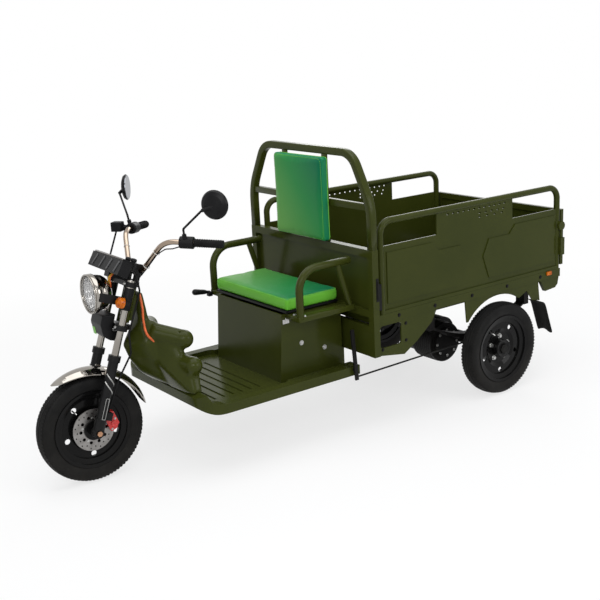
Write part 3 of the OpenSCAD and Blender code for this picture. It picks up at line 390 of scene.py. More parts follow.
def vinyl(name, axis, start, stop, side):
    material, t, shader = blank(name)
    place = add(t, "ShaderNodeTexCoord")
    along = add(t, "ShaderNodeVectorMath", {1: axis}, operation="DOT_PRODUCT")
    run = add(t, "ShaderNodeMapRange", {"From Min": start, "From Max": stop})
    ramp = add(t, "ShaderNodeValToRGB")
    ramp.color_ramp.elements[0].color = LEAF
    ramp.color_ramp.elements[1].color = TEAL
    ramp.color_ramp.elements.new(0.55).color = GREEN
    facing = add(t, "ShaderNodeAttribute", attribute_name="panel")
    edge = add(t, "ShaderNodeMapRange", {"From Min": 0.35, "From Max": 0.75})
    mix = add(t, "ShaderNodeMix", {MIX_A: (*side, 1)}, data_type="RGBA")
    link(t, (place, "Object", along, 0), (along, "Value", run, "Value"), (run, "Result", ramp, "Fac"),
         (facing, "Fac", edge, "Value"), (edge, "Result", mix, 0), (ramp, "Color", mix, MIX_B),
         (mix, MIX_RESULT, shader, "Base Color"))
    grained(t, shader, 650, (0.32, 0.44), 0.18, 0.0005)
    put(shader, {"Specular IOR Level": 0.14})
    return material


seat_vinyl = vinyl("seat_vinyl", (-0.35, 0.94, 0), -0.32, 0.30, (0.125, 0.44, 0.035))
back_vinyl = vinyl("back_vinyl", (0, 0.8, 0.6), 0.42, 0.86, (0.010, 0.19, 0.075))
looks["green_vinyl"] = seat_vinyl
print("vinyl:", seat_vinyl.name, back_vinyl.name)

# %% [markdown]
# The record names a slot for every solid, so each solid takes the finish of its slot in one loop.

# %% Dress the solids
for part in frame["record"]["subparts"]:
    solid = nodes[part["node"]]
    solid.data.materials.clear()
    solid.data.materials.append(looks[part["material_slot"]])
print("finishes:", len(looks))

# %% [markdown]
# New pieces go through one door: a mesh becomes an object at the origin, takes its finish and rides on a
# body. Turned shapes, boxes and tubes come back often, so each has a helper, and one more joins rows of
# points with faces.

# %% Helpers for pieces


def mesh_of(name, bm):
    mesh = bpy.data.meshes.new(name)
    bm.to_mesh(mesh)
    bm.free()
    return mesh


def worked(thing):
    """The plain mesh of an object with its modifiers or bevel worked in."""
    return bpy.data.meshes.new_from_object(thing.evaluated_get(bpy.context.evaluated_depsgraph_get()))


def settled(thing):
    """As worked, and the object itself goes."""
    mesh = worked(thing)
    bpy.data.objects.remove(thing)
    return mesh


def piece(name, body, material, bm=None, mesh=None, smooth=True):
    """Adds a piece from a bmesh or from a finished mesh."""
    if mesh is None:
        bmesh.ops.recalc_face_normals(bm, faces=bm.faces)
        mesh = mesh_of(name, bm)
    mesh.materials.clear()
    mesh.materials.append(material)
    if smooth:
        mesh.shade_smooth()
    else:
        mesh.shade_flat()
    thing = placed(name, mesh)
    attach(thing, body)
    return thing


def skin(bm, rows, wrap_rows=False, wrap_points=False):
    """Joins rows of points with faces; the rows, or the points of each row, may close on themselves."""
    for one, two in zip(rows, rows[1:] + rows[:1] if wrap_rows else rows[1:]):
        for i in range(len(one) if wrap_points else len(one) - 1):
            j = (i + 1) % len(one)
            bm.faces.new((one[i], one[j], two[j], two[i]))


def circle(count, start=0.0):
    """Angles of evenly spaced places round a full turn."""
    return [2 * math.pi * (k + start) / count for k in range(count)]


def polar(r, y, a):
    """A point at radius r and angle a round the Y axis."""
    return Vector((r * math.cos(a), y, r * math.sin(a)))


def ring(bm, profile, count, where):
    """Adds a turned shape: profile points are (radius, along the axis), where maps +Y to its place."""
    rows = [[bm.verts.new(where @ polar(r, y, a)) for r, y in profile] for a in circle(count)]
    skin(bm, rows, wrap_rows=True)
    for i in (0, -1):
        if profile[i][0] < 0.0005:
            pole = where @ Vector((0, profile[i][1], 0))
            bmesh.ops.pointmerge(bm, verts=[row[i] for row in rows], merge_co=pole)
    bmesh.ops.remove_doubles(bm, verts=bm.verts, dist=1e-6)


def slab(bm, low, high, where=Matrix(), bevel=0.0015, cut=2):
    """Adds a box with rounded edges."""
    made = bmesh.ops.create_cube(bm, size=1.0)["verts"]
    size = Vector(high) - Vector(low)
    middle = (Vector(high) + Vector(low)) / 2
    for v in made:
        v.co = Vector([v.co[i] * size[i] for i in range(3)]) + middle
    edges = list({e for v in made for e in v.link_edges})
    eased = bmesh.ops.bevel(bm, geom=edges, offset=bevel, segments=cut, affect="EDGES", profile=0.5)
    for v in set(eased["verts"] + [v for v in made if v.is_valid]):
        v.co = where @ v.co


def curve_along(name, points, radius, kind="POLY", fineness=3, closed=False):
    curve = bpy.data.curves.new(name, "CURVE")
    curve.dimensions = "3D"
    line = curve.splines.new(kind)
    line.points.add(len(points) - 1)
    for spot, p in zip(line.points, points):
        spot.co = (*p, 1)
    curve.bevel_depth = radius
    curve.bevel_resolution = fineness
    line.use_cyclic_u = closed
    curve.use_fill_caps = not closed
    return curve


def tube(name, body, material, points, radius):
    curve = curve_along(name, points, radius, "NURBS")
    curve.splines[0].use_endpoint_u = True
    curve.splines[0].order_u = 4
    curve.resolution_u = 10
    piece(name, body, material, mesh=settled(placed(name, curve)))


print("helpers ready")

# %% [markdown]
# Cords are fixed lengths of something flexible that go back into the vehicle at both ends: the brake
# hose, the loom in its orange sheath, a cable along the left half of the handlebar and three leads
# behind the headlight. Each is one open curve through the points of its route, with corners rounded to
# at least four diameters where there is room.

# %% Cords
CORD_BEND = 4.5
BAR_HALF = [(-47, 66, 684), (-50, 192, 826), (-218, 360, 867)]
CYLINDER_FROM_END = 0.146
CYLINDER_FITTING = Vector((0.072, -0.014, 0.0006))


def rounded(p, q, r, radius, steps=8):
    """Points of the arc that rounds corner q between p and r."""
    u, v = (p - q).normalized(), (r - q).normalized()
    half = u.angle(v) / 2
    middle = q + (u + v).normalized() * radius / math.sin(half)
    first, last = (q + way * radius / math.tan(half) - middle for way in (u, v))
    sweep = first.angle(last)
    arc = []
    for i in range(steps + 1):
        share = i / steps
        mixed = first * math.sin(sweep * (1 - share)) + last * math.sin(sweep * share)
        arc.append(middle + mixed / math.sin(sweep))
    return arc


def bent(points, radius, steps=5):
    """A line through the points with its corners rounded as far as there is room."""
    line = [points[0]]
    for p, q, r in zip(points, points[1:], points[2:]):
        turn = math.pi - (p - q).angle(r - q)
        room = 0.49 * min((p - q).length, (r - q).length) / math.tan(turn / 2)
        line += rounded(p, q, r, min(radius, room), steps)
    return line + [points[-1]]


def cord(name, body, material, points, diameter, node=None):
    route = bent(points, CORD_BEND * diameter)
    curve = curve_along(name, route, diameter / 2)
    curve.materials.append(material)
    thing = placed(name, curve)
    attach(thing, body)
    if node:
        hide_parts(node)


black, orange = looks["grip_rubber"], looks["loom_orange"]
top, tip = (STRAIGHT @ (Vector((x, -y, z)) / 1000) for x, y, z in BAR_HALF[1:])
lever = STEERED @ (tip - CYLINDER_FROM_END * (tip - top).normalized() + CYLINDER_FITTING)
hose = [on_fork(*v) for v in (
    (8, -160, 673), (4, 118, 673), (-28, 122, 606), (-20, 124, 430), (-46, 130, 350), (-30, 104, 235),
    (-32, 68, 80))]
cord("brake_line", "steering", black, [lever] + hose, 0.008, "brake_hose")
loom = [on_frame(*v) for v in (
    (1697, 24, 756), (1700, 43, 690), (1702, 43, 650), (1716, 84, 596), (1680, 82, 556))]
cord("orange_loom", "chassis", orange, loom, 0.010, "cable_loom")
cable = [on_fork(*v) for v in (
    (-101, 243, 821), (-80, 222, 805), (-60, 200, 797), (-49, 160, 768), (-48, 102, 703), (-22, 70, 628))]
cord("bar_cable", "steering", black, cable, 0.005)
yellow = finish("wire_yellow", (0.62, 0.34, 0.03), (0.50, 0.26, 0.02), 40, (0.4, 0.55), bump=0.1)
for name, y, coat in (("wire_a", 36, yellow), ("wire_b", 46, orange), ("wire_c", 27, yellow)):
    lead = [on_fork(*v) for v in (
        (64, y, 664), (70, y + 3, 648), (82, y + 8, 630), (70, y + 2, 610), (60, y - 8, 588))]
    cord(name, "steering", coat, lead, 0.0044)

# %% [markdown]
# Bolts and screws repeat all over the vehicle. Geometry Nodes put one on each point of a small mesh of
# places, and a stored direction turns it to the surface. The tree ends in Realize Instances, so the
# result becomes a plain mesh.

# %% Fastener tree
GEOMETRY, MATERIAL = "NodeSocketGeometry", "NodeSocketMaterial"


def geometry_tree(name, takes):
    t = bpy.data.node_groups.new(name, "GeometryNodeTree")
    sockets(t, "INPUT", [("Geometry", GEOMETRY, None), *takes, ("Material", MATERIAL, None)])
    sockets(t, "OUTPUT", [("Geometry", GEOMETRY, None)])
    return t, t.nodes.new("NodeGroupInput"), t.nodes.new("NodeGroupOutput")


def stored(t, label):
    return add(t, "GeometryNodeInputNamedAttribute", {"Name": label}, data_type="FLOAT_VECTOR")


def turned_to_facing(t):
    align = add(t, "FunctionNodeAlignRotationToVector", axis="Z")
    link(t, (stored(t, "facing"), 0, align, "Vector"))
    return align


def finish_tree(t, take, give, shape, turn):
    """Sets the shape on each point, makes the copies real and gives them their finish."""
    stand = add(t, "GeometryNodeInstanceOnPoints")
    real = add(t, "GeometryNodeRealizeInstances")
    paint = add(t, "GeometryNodeSetMaterial")
    link(t, (take, "Geometry", stand, "Points"), (shape, 0, stand, "Instance"), (turn, 0, stand, "Rotation"),
         (stand, "Instances", real, "Geometry"), (real, "Geometry", paint, "Geometry"),
         (take, "Material", paint, "Material"), (paint, "Geometry", give, "Geometry"))


bolts, take, give = geometry_tree("bolt_heads", [
    ("Head Radius", FLOAT, 0.006), ("Head Height", FLOAT, 0.004), ("Washer Radius", FLOAT, 0.009)])
head = add(bolts, "GeometryNodeMeshCylinder", {"Vertices": 6})
washer = add(bolts, "GeometryNodeMeshCylinder", {"Vertices": 18})
thin = add(bolts, "ShaderNodeMath", {1: 0.5}, operation="MULTIPLY")
lift = add(bolts, "ShaderNodeCombineXYZ")
raised = add(bolts, "GeometryNodeTransform")
both = add(bolts, "GeometryNodeJoinGeometry")
link(bolts, (take, "Head Radius", head, "Radius"), (take, "Head Height", head, "Depth"),
     (take, "Head Height", thin, 0), (thin, 0, lift, "Z"), (thin, 0, washer, "Depth"),
     (take, "Washer Radius", washer, "Radius"), (head, "Mesh", raised, "Geometry"),
     (lift, 0, raised, "Translation"), (raised, "Geometry", both, 0), (washer, "Mesh", both, 0))
finish_tree(bolts, take, give, both, turned_to_facing(bolts))


def grown(name, t, places, attribute, values):
    """Runs a tree on a mesh of places and returns the plain mesh that it grows."""
    mesh = bpy.data.meshes.new(name + "_places")
    mesh.from_pydata([tuple(p) for p, _ in places], [], [])
    layer = mesh.attributes.new(attribute, "FLOAT_VECTOR", "POINT")
    for spot, (_, d) in zip(layer.data, places):
        spot.vector = tuple(d)
    holder = placed(name + "_places", mesh)
    modifier = holder.modifiers.new("grow", "NODES")
    modifier.node_group = t
    for item in t.interface.items_tree:
        if item.item_type == "SOCKET" and item.in_out == "INPUT" and item.name in values:
            modifier[item.identifier] = values[item.name]
    bpy.context.view_layer.update()
    return settled(holder)


def bolt_set(name, body, material, places, head, height, washer):
    sizes = {"Head Radius": head, "Head Height": height, "Washer Radius": washer, "Material": material}
    piece(name, body, material, mesh=grown(name, bolts, places, "facing", sizes), smooth=False)


olive, iron = looks["olive_paint"], looks["frame_black"]
BOX_SPOTS = ((1051, 448), (925, 400))
PLATE_SPOTS = ((740, 480), (640, 480), (600, 480), (600, 400), (740, 385))
box_bolts = [(on_frame(x, s * 258.2, z), LEFT * s) for x, z in BOX_SPOTS for s in (1, -1)]
bolt_set("box_bolts", "chassis", zinc, box_bolts, 0.008, 0.005, 0.011)
rail_bolts = [(on_frame(x, s * 445.2, 526), LEFT * s) for x in (-300, -60, 180, 420, 640) for s in (1, -1)]
bolt_set("rail_bolts", "chassis", iron, rail_bolts, 0.006, 0.004, 0.009)
plate_bolts = [(on_frame(x, s * 443.2, z), LEFT * s) for x, z in PLATE_SPOTS for s in (1, -1)]
bolt_set("plate_bolts", "chassis", iron, plate_bolts, 0.005, 0.004, 0.008)
print("bolts set out:", len(box_bolts) + len(rail_bolts) + len(plate_bolts))

# %% [markdown]
# Each tyre is a turned carcass with three grooves and a bead line on its wall, and a ring of short cross
# ribs on each shoulder. The ribs repeat, so a second tree sets a small block on each point of two rings.

# %% Tyres
RIB_COUNT, RIB_RADIUS, RIB_ASIDE = 84, 0.2190, 0.0255
RIB_LEAN, RIB_TWIST, RIB_SHIFT = 0.30, 0.25, 0.25
HALF_TRACK = 445

ribs_tree, take, give = geometry_tree("tread_ribs", [
    ("Length", FLOAT, 0.02), ("Width", FLOAT, 0.006), ("Depth", FLOAT, 0.006)])
block = add(ribs_tree, "GeometryNodeMeshCube")
size = add(ribs_tree, "ShaderNodeCombineXYZ")
angle = add(ribs_tree, "FunctionNodeEulerToRotation")
link(ribs_tree, (take, "Width", size, "X"), (take, "Length", size, "Y"), (take, "Depth", size, "Z"),
     (size, 0, block, "Size"), (stored(ribs_tree, "turn"), 0, angle, 0))
finish_tree(ribs_tree, take, give, block, angle)

carcass = [
    (0.156, -0.0300), (0.166, -0.0330), (0.170, -0.0368), (0.174, -0.0372), (0.178, -0.0390),
    (0.196, -0.0408), (0.206, -0.0404), (0.214, -0.0376), (0.2195, -0.0320), (0.2232, -0.0250),
    (0.2250, -0.0180), (0.2256, -0.0160), (0.2215, -0.0150), (0.2215, -0.0120), (0.2266, -0.0110),
    (0.2272, -0.0030), (0.2228, -0.0020), (0.2228, 0.0020), (0.2272, 0.0030)]
carcass += [(r, -y) for r, y in reversed(carcass[:15])]
carcass.append(carcass[0])


def bar_set(name, body, material, places, width, length, depth):
    sizes = {"Width": width, "Length": length, "Depth": depth, "Material": material}
    piece(name, body, material, mesh=grown(name, ribs_tree, places, "turn", sizes), smooth=False)


def turned(name, body, material, profile, count, where):
    bm = bmesh.new()
    ring(bm, profile, count, where)
    return piece(name, body, material, bm)


def tyre(name, node, body, where):
    made = turned(name, body, looks["tyre"], carcass, 120, where)
    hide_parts(node)
    places = []
    for side in (-1, 1):
        tip = Matrix.Rotation(-side * RIB_LEAN, 4, "X") @ Matrix.Rotation(side * RIB_TWIST, 4, "Z")
        for a in circle(RIB_COUNT, side * RIB_SHIFT):
            lean = Matrix.Rotation(math.pi / 2 - a, 4, "Y") @ tip
            facing = (where.to_3x3().to_4x4() @ lean).to_euler()
            places.append((where @ polar(RIB_RADIUS, side * RIB_ASIDE, a), facing))
    bar_set(name + "_ribs", body, looks["tyre"], places, 0.0095, 0.018, 0.009)


left_hub, right_hub = (Matrix.Translation(on_frame(0, s * HALF_TRACK, 1000 * TYRE_RADIUS)) for s in (1, -1))
HUBS = {"front": STEERED @ Matrix.Translation(FRONT_AXLE), "left": left_hub,
        "right": right_hub @ Matrix.Rotation(math.pi, 4, "Z")}
WHEELS = {"front": "front_wheel", "left": "rear_wheel_left", "right": "rear_wheel_right"}
TYRES = {"front": "front_tyre", "left": "rear_tyre_left", "right": "rear_tyre_right"}
for key, hub in HUBS.items():
    tyre("tread_" + key, TYRES[key], WHEELS[key], hub)
print("tyres with", 2 * RIB_COUNT, "ribs each")

# %% [markdown]
# A pressed wheel shows a valve in the rim, and the rear ones their nuts around the hub. A turned collar
# finishes each rear hub.

# %% Wheel nuts, valves and collars
VALVE_TURN = 0.9
VALVE = ((0.118, 0.010), (0.116, 0.024), (0.110, 0.034), (0.104, 0.038))
COLLAR = [(0.0448, 0.026), (0.0452, 0.034), (0.043, 0.0362), (0.040, 0.0366), (0.0385, 0.0355),
          (0.025, 0.0352), (0.0248, 0.0345), (0.0248, 0.026), (0.0448, 0.026)]
for key, hub in HUBS.items():
    if key != "front":
        nuts = [(hub @ polar(0.058, 0.0005, a), hub.to_3x3() @ LEFT) for a in circle(5, 0.3)]
        bolt_set("wheel_nuts_" + key, WHEELS[key], zinc, nuts, 0.009, 0.010, 0.012)
    stem = [hub @ polar(r, y, VALVE_TURN) for r, y in VALVE]
    tube("valve_" + key, WHEELS[key], zinc, stem, 0.0035)
for key in ("left", "right"):
    turned("hub_collar_" + key, WHEELS[key], looks["slider_black"], COLLAR, 48, HUBS[key])
print("wheel trim done")

# %% [markdown]
# Seat and backrest are stuffed vinyl. Each starts a little smaller than its solid, is remeshed to even
# squares and swells under a short cloth simulation with inner pressure, with the movement of each point
# capped. The side where the pad rests on its board stays flat.

# %% Stuffed pads
PAD_INSET, PAD_CAP = 0.004, 0.006
SWELL_FRAMES = 20
BOARD_REACH, BOARD_GAP = 0.012, 0.0004


def even(thing, size):
    """Adds a remesh to squares of one size."""
    voxels = thing.modifiers.new("even", "REMESH")
    voxels.mode = "VOXEL"
    voxels.voxel_size = size


def settle_in_place(thing):
    thing.data = worked(thing)
    thing.modifiers.clear()


def swollen(thing):
    """Places of the points after the cloth has swollen."""
    cloth = thing.modifiers.new("swell", "CLOTH")
    cloth.settings.quality = 5
    cloth.settings.use_pressure = True
    cloth.settings.uniform_pressure_force = 4
    cloth.settings.tension_stiffness = 30
    cloth.settings.effector_weights.gravity = 0
    cloth.point_cache.frame_start, cloth.point_cache.frame_end = 1, SWELL_FRAMES
    for k in range(1, SWELL_FRAMES + 1):
        scene.frame_set(k)
    blown = thing.evaluated_get(bpy.context.evaluated_depsgraph_get())
    places = [v.co.copy() for v in blown.data.vertices]
    thing.modifiers.clear()
    scene.frame_set(1)
    return places


def pad(name, node, body, material, axis):
    """A pad that rests on a board at the low end of the axis."""
    low, high = (Vector(v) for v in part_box(node))
    inset = Vector((PAD_INSET,) * 3)
    bm = bmesh.new()
    slab(bm, low + inset, high - inset, bevel=0.011, cut=3)
    thing = placed(name, mesh_of(name, bm))
    even(thing, 0.006)
    settle_in_place(thing)
    start = [v.co.copy() for v in thing.data.vertices]
    stop = swollen(thing)
    for v, a, b in zip(thing.data.vertices, start, stop):
        move = b - a
        if move.length > PAD_CAP:
            move = move.normalized() * PAD_CAP
        v.co = a + move
        above = abs(a[axis] - low[axis])
        if above < BOARD_REACH:
            v.co[axis] = low[axis] + max(BOARD_GAP, above - PAD_INSET)
    soften = thing.modifiers.new("soft", "SUBSURF")
    soften.levels = soften.render_levels = 1
    settle_in_place(thing)
    panel_of = thing.data.attributes.new("panel", "FLOAT", "POINT")
    for value, v in zip(panel_of.data, thing.data.vertices):
        value.value = max(0.0, v.normal[axis])
    thing.data.materials.clear()
    thing.data.materials.append(material)
    thing.data.shade_smooth()
    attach(thing, body)
    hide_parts(node)
    print(name, len(thing.data.polygons), "faces")
    return thing


seat_pad = pad("seat_pad", "seat_cushion", "seat", seat_vinyl, 2)
back_pad = pad("back_pad", "backrest_cushion", "chassis", back_vinyl, 0)

# %% [markdown]
# A cord of piping closes the seam of each cover, at the top of the seat and at the rear of the backrest,
# and a row of stitches runs round the panel. Both have to lie on the swollen cover, so rays are cast
# from outside onto its mesh and the hits give the path.

# %% Paths on the covers
CORNER = 0.018
RIM_INWARD, STITCH_INWARD = 0.004, 0.016
RIM_POINTS, STITCH_STEP = 160, 11


def rim_walk(half):
    """Points round a rectangle with rounded corners."""
    walk = []
    for q, (sa, sb) in enumerate(((1, 1), (-1, 1), (-1, -1), (1, -1))):
        for i in range(7):
            w = math.radians(90 * q + 15 * i)
            walk.append((sa * (half[0] - CORNER) + CORNER * math.cos(w),
                         sb * (half[1] - CORNER) + CORNER * math.sin(w)))
    return walk + walk[:1]


def seam(cover, node, face, inward, count, sign=1):
    """Points and normals on the cover along its rim: face is the axis that the panel faces, to its sign."""
    low, high = (Vector(v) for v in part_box(node))
    a, b = [i for i in range(3) if i != face]
    faces = [f.vertices[:] for f in cover.data.polygons]
    hull = BVHTree.FromPolygons([v.co for v in cover.data.vertices], faces)
    half = Vector(((high[a] - low[a]) / 2 - inward, (high[b] - low[b]) / 2 - inward))
    middle = (low + high) / 2
    walk = rim_walk(half)
    total = sum(math.dist(p, q) for p, q in zip(walk, walk[1:]))
    hits, run, gone = [], 0, 0.0
    for p, q in zip(walk, walk[1:]):
        span = math.dist(p, q)
        while run < count and total * run / count <= gone + span:
            share = (total * run / count - gone) / span if span else 0
            x, y = p[0] + (q[0] - p[0]) * share, p[1] + (q[1] - p[1]) * share
            way = Vector((0, 0, 0))
            way[face] = -sign
            if inward < 0.005:
                out = Vector((0, 0, 0))
                out[a] = x / half[0] if abs(x) > half[0] - CORNER else 0
                out[b] = y / half[1] if abs(y) > half[1] - CORNER else 0
                way -= out.normalized()
            way.normalize()
            start = middle.copy()
            start[a], start[b], start[face] = middle[a] + x, middle[b] + y, (high if sign > 0 else low)[face]
            spot, normal, _, _ = hull.ray_cast(start - way * 0.05, way)
            if spot is not None:
                hits.append((spot, normal))
            run += 1
        gone += span
    return hits


def trim(name, cover, node, body, face, material, rim_sign):
    points = [p for p, _ in seam(cover, node, face, RIM_INWARD, RIM_POINTS, rim_sign)]
    curve = curve_along(name, points, 0.0022, fineness=2, closed=True)
    piece(name + "_piping", body, material, mesh=settled(placed(name, curve)))
    low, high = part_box(node)
    count = int(1000 * 2 * (sum(high) - sum(low)) / STITCH_STEP)
    row = seam(cover, node, face, STITCH_INWARD, count)
    places = []
    for (p, n), (q, _) in zip(row, row[1:] + row[:1]):
        x = (q - p).normalized()
        z = (n - n.dot(x) * x).normalized()
        places.append((p + z * 0.0002, Matrix((x, z.cross(x), z)).transposed().to_euler()))
    bar_set(name + "_stitches", body, material, places, 0.0062, 0.0013, 0.0011)
    print(name, len(points), "rim points,", len(places), "stitches")


thread = finish("lime_thread", (0.16, 0.48, 0.05), (0.12, 0.40, 0.04), 60, (0.45, 0.6), grain_scale=800,
                bump=0.2, specular=0.2)
trim("seat", seat_pad, "seat_cushion", "seat", 2, thread, 1)
trim("back", back_pad, "backrest_cushion", "chassis", 0, thread, -1)

# %% [markdown]
# The leg shield and the housings on the handlebar are smooth mouldings. Their solids are unions with
# creases where the forms meet, so a copy is remeshed with voxels and relaxed until the creases become
# soft valleys.

# %% Mouldings


def moulded(name, node, body, slot, voxel, passes):
    bm = bmesh.new()
    bm.from_mesh(nodes[node].data)
    bmesh.ops.remove_doubles(bm, verts=bm.verts, dist=1e-5)
    thing = placed(name, mesh_of(name, bm))
    even(thing, voxel)
    relax = thing.modifiers.new("relax", "SMOOTH")
    relax.factor = 0.5
    relax.iterations = passes
    made = piece(name, body, looks[slot], mesh=settled(thing))
    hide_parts(node)
    print(name, "faces:", len(made.data.polygons))


moulded("shield_skin", "leg_shield", "chassis", "olive_paint", 0.005, 30)
moulded("control_housings", "hand_controls", "steering", "black_plastic", 0.0022, 10)
moulded("control_box_case", "control_box", "steering", "black_plastic", 0.003, 8)

# %% [markdown]
# The hoop behind the seat is one square tube, bent twice on each side. Its centre line is a polyline
# whose corners are rounded by arcs, and a square section with soft edges is carried along it. A cross
# bar and two slats hold the backrest.

# %% Hoop tube
TUBE, BEND_KNEE, BEND_BROW = 34, 260, 103
HALF_FLAT, EDGE_RADIUS = 12, 5
HOOP_X = 785


def offset(p, q, r, t):
    """Corner q of a line p-q-r, moved to its left by t."""
    n, m = ((b - a).normalized().orthogonal() for a, b in ((p, q), (q, r)))
    return q + t * (n + m) / (1 + n.dot(m))


def heading(line, k):
    """Direction of a line at its point k."""
    return (line[min(k + 1, len(line) - 1)] - line[max(k - 1, 0)]).normalized()


def pipe(bm, rows):
    """Closes rows of points, one for each station, to a pipe with flat ends."""
    skin(bm, rows, wrap_points=True)
    bm.faces.new(rows[0])
    bm.faces.new(rows[-1])


foot, knee = Vector((462, 849)), Vector((462, 1046))
brow, crest = Vector((338, 1276)), Vector((-338, 1276))
c_knee, c_brow = offset(foot, knee, brow, TUBE / 2), offset(knee, brow, crest, TUBE / 2)
c_foot, c_crest = foot - Vector((TUBE / 2, 0)), Vector((-c_brow.x, c_brow.y))
line = [c_foot, *rounded(c_foot, c_knee, c_brow, BEND_KNEE), *rounded(c_knee, c_brow, c_crest, BEND_BROW)]
line += [Vector((-p.x, p.y)) for p in reversed(line)]
section = []
for sx, sy, first in ((1, 1, 0), (-1, 1, 90), (-1, -1, 180), (1, -1, 270)):
    for w in (math.radians(first + a) for a in (0, 30, 60, 90)):
        ease = EDGE_RADIUS * math.cos(w), EDGE_RADIUS * math.sin(w)
        section.append((sx * HALF_FLAT + ease[0], sy * HALF_FLAT + ease[1]))
bm = bmesh.new()
rows = []
for k, p in enumerate(line):
    along = heading(line, k)
    aside = Vector((along.y, -along.x))
    rows.append([bm.verts.new(on_frame(HOOP_X + a, *(p + aside * b))) for a, b in section])
pipe(bm, rows)
slab(bm, on_frame(772, -430, 1016), on_frame(798, 430, 1046), bevel=0.003)
for y in (-150, 150):
    slab(bm, on_frame(792, y - 18, 849.5), on_frame(801.7, y + 18, 1243), cut=1)
hoop_tube = piece("hoop_tube", "chassis", olive, bm)
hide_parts("hoop")
print("hoop stations:", len(line))

# %% [markdown]
# Round tubes make the armrests and the handlebar. The real ones are drawn round a large former, so their
# corners are wide arcs. A row of circles is set along a line of points and turned with it, which keeps
# the tube round in the bends. The hand brake is a lever with a swelling grip, turned as one profile
# round its own axis.

# %% Round tubes and the hand brake
ARM_BEND = BAR_BEND = 0.095
BEND_STEPS = 10
END_EASE = 0.002
ARM_FRONT, ARM_ASIDE, ARM_TOP = 1112, 345, 799
BAR_MIDDLE = (-42, 0, 687)


def round_tube(bm, points, radius, count=20):
    """Adds a round tube with closed, slightly eased ends along a line of points."""
    first, last = (points[1] - points[0]).normalized(), (points[-2] - points[-1]).normalized()
    line = [points[0], points[0] + first * END_EASE, *points[1:-1], points[-1] + last * END_EASE, points[-1]]
    aside = first.orthogonal().normalized()
    rows = []
    for k, p in enumerate(line):
        along = heading(line, k)
        aside = (aside - along * aside.dot(along)).normalized()
        across = along.cross(aside)
        size = radius - END_EASE / 2 if k in (0, len(line) - 1) else radius
        spots = [p + size * (aside * math.cos(a) + across * math.sin(a)) for a in circle(count)]
        rows.append([bm.verts.new(spot) for spot in spots])
    pipe(bm, rows)


bm = bmesh.new()
for s in (1, -1):
    y = s * ARM_ASIDE
    arm = [on_frame(ARM_FRONT, y, 590), on_frame(ARM_FRONT, y, ARM_TOP), on_frame(836, y, ARM_TOP)]
    round_tube(bm, bent(arm, ARM_BEND, BEND_STEPS), 0.017)
    round_tube(bm, [on_frame(905, y, ARM_TOP), on_frame(838, y, 588)], 0.013)
    near, far = sorted((s * 258.3, s * 359))
    slab(bm, on_frame(822, near, 572), on_frame(1128, far, 598), bevel=0.004)
arm_tubes = piece("arm_tubes", "chassis", olive, bm)
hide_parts("armrests")

stations = [(x, -y, z) for x, y, z in reversed(BAR_HALF)] + [BAR_MIDDLE] + BAR_HALF
bm = bmesh.new()
round_tube(bm, bent([on_fork(*v) for v in stations], BAR_BEND, BEND_STEPS), 0.011)
bar_tube = piece("bar_tube", "steering", bronze, bm)
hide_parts("handlebar")

GRIP = [(0, 0), (6.5, 0.5), (6.5, 16), (9.5, 21), (11.5, 30), (12.5, 50), (14.2, 72), (14.6, 81), (13, 88),
        (8, 93), (0, 95)]
bm = bmesh.new()
slab(bm, on_frame(1128.3, -362, 568), on_frame(1150, -338, 589), bevel=0.002)
lever_way = Vector((72, 0, 12)).normalized()
lever_turn = LEFT.rotation_difference(lever_way).to_matrix().to_4x4()
lever_place = Matrix.Translation(on_frame(1139, -350, 588)) @ lever_turn
ring(bm, [(r / 1000, a / 1000) for r, a in GRIP], 24, lever_place)
brake_grip = piece("brake_grip", "chassis", looks["black_plastic"], bm)
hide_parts("hand_brake")
print("armrest bend:", ARM_BEND, "handlebar bend:", BAR_BEND)

# %% [markdown]
# Rings come back in many places: ridges on the grips, fins on the motor, tie bands on the handlebar. One
# tree turns a circle into a thin hoop and sets it on each point, turned along a stored direction, so all
# of them share it.

# %% Hoop tree
hoops, take, give = geometry_tree("hoops", [("Hoop Radius", FLOAT, 0.016), ("Wire Radius", FLOAT, 0.0015)])
path = add(hoops, "GeometryNodeCurvePrimitiveCircle", {"Resolution": 40})
wire = add(hoops, "GeometryNodeCurvePrimitiveCircle", {"Resolution": 8})
swept = add(hoops, "GeometryNodeCurveToMesh")
link(hoops, (take, "Hoop Radius", path, "Radius"), (take, "Wire Radius", wire, "Radius"),
     (path, "Curve", swept, "Curve"), (wire, "Curve", swept, "Profile Curve"))
finish_tree(hoops, take, give, swept, turned_to_facing(hoops))


def hoop_set(name, body, material, places, radius, wire_radius):
    sizes = {"Hoop Radius": radius, "Wire Radius": wire_radius, "Material": material}
    piece(name, body, material, mesh=grown(name, hoops, places, "facing", sizes))


CABLE_SIDE = FORK.to_3x3() @ Vector((0, 0.0019, -0.0017))
ridges, ties = [], {}
for side in (1, -1):
    low, top, tip = (on_fork(x, side * y, z) for x, y, z in BAR_HALF)
    along, rise = (tip - top).normalized(), (top - low).normalized()
    ridges += [(tip - along * (0.006 + 0.0095 * k), along) for k in range(12)]
    if side > 0:
        ties["left"] = [(low.lerp(top, share) + CABLE_SIDE, rise) for share in (0.2, 0.66)]
    else:
        ties["right"] = [(low.lerp(top, 0.55), rise)]
hoop_set("grip_ridges", "steering", black, ridges, 0.0158, 0.0016)
pale = finish("tie_nylon", (0.70, 0.69, 0.66), (0.58, 0.57, 0.54), 40, (0.4, 0.55), grain_scale=400, bump=0.1)
hoop_set("bar_ties", "steering", pale, ties["left"], 0.0142, 0.0014)
hoop_set("bar_tie_right", "steering", pale, ties["right"], 0.0118, 0.0014)
fins = [(on_frame(115, y, 225), LEFT) for y in range(74, 186, 14)]
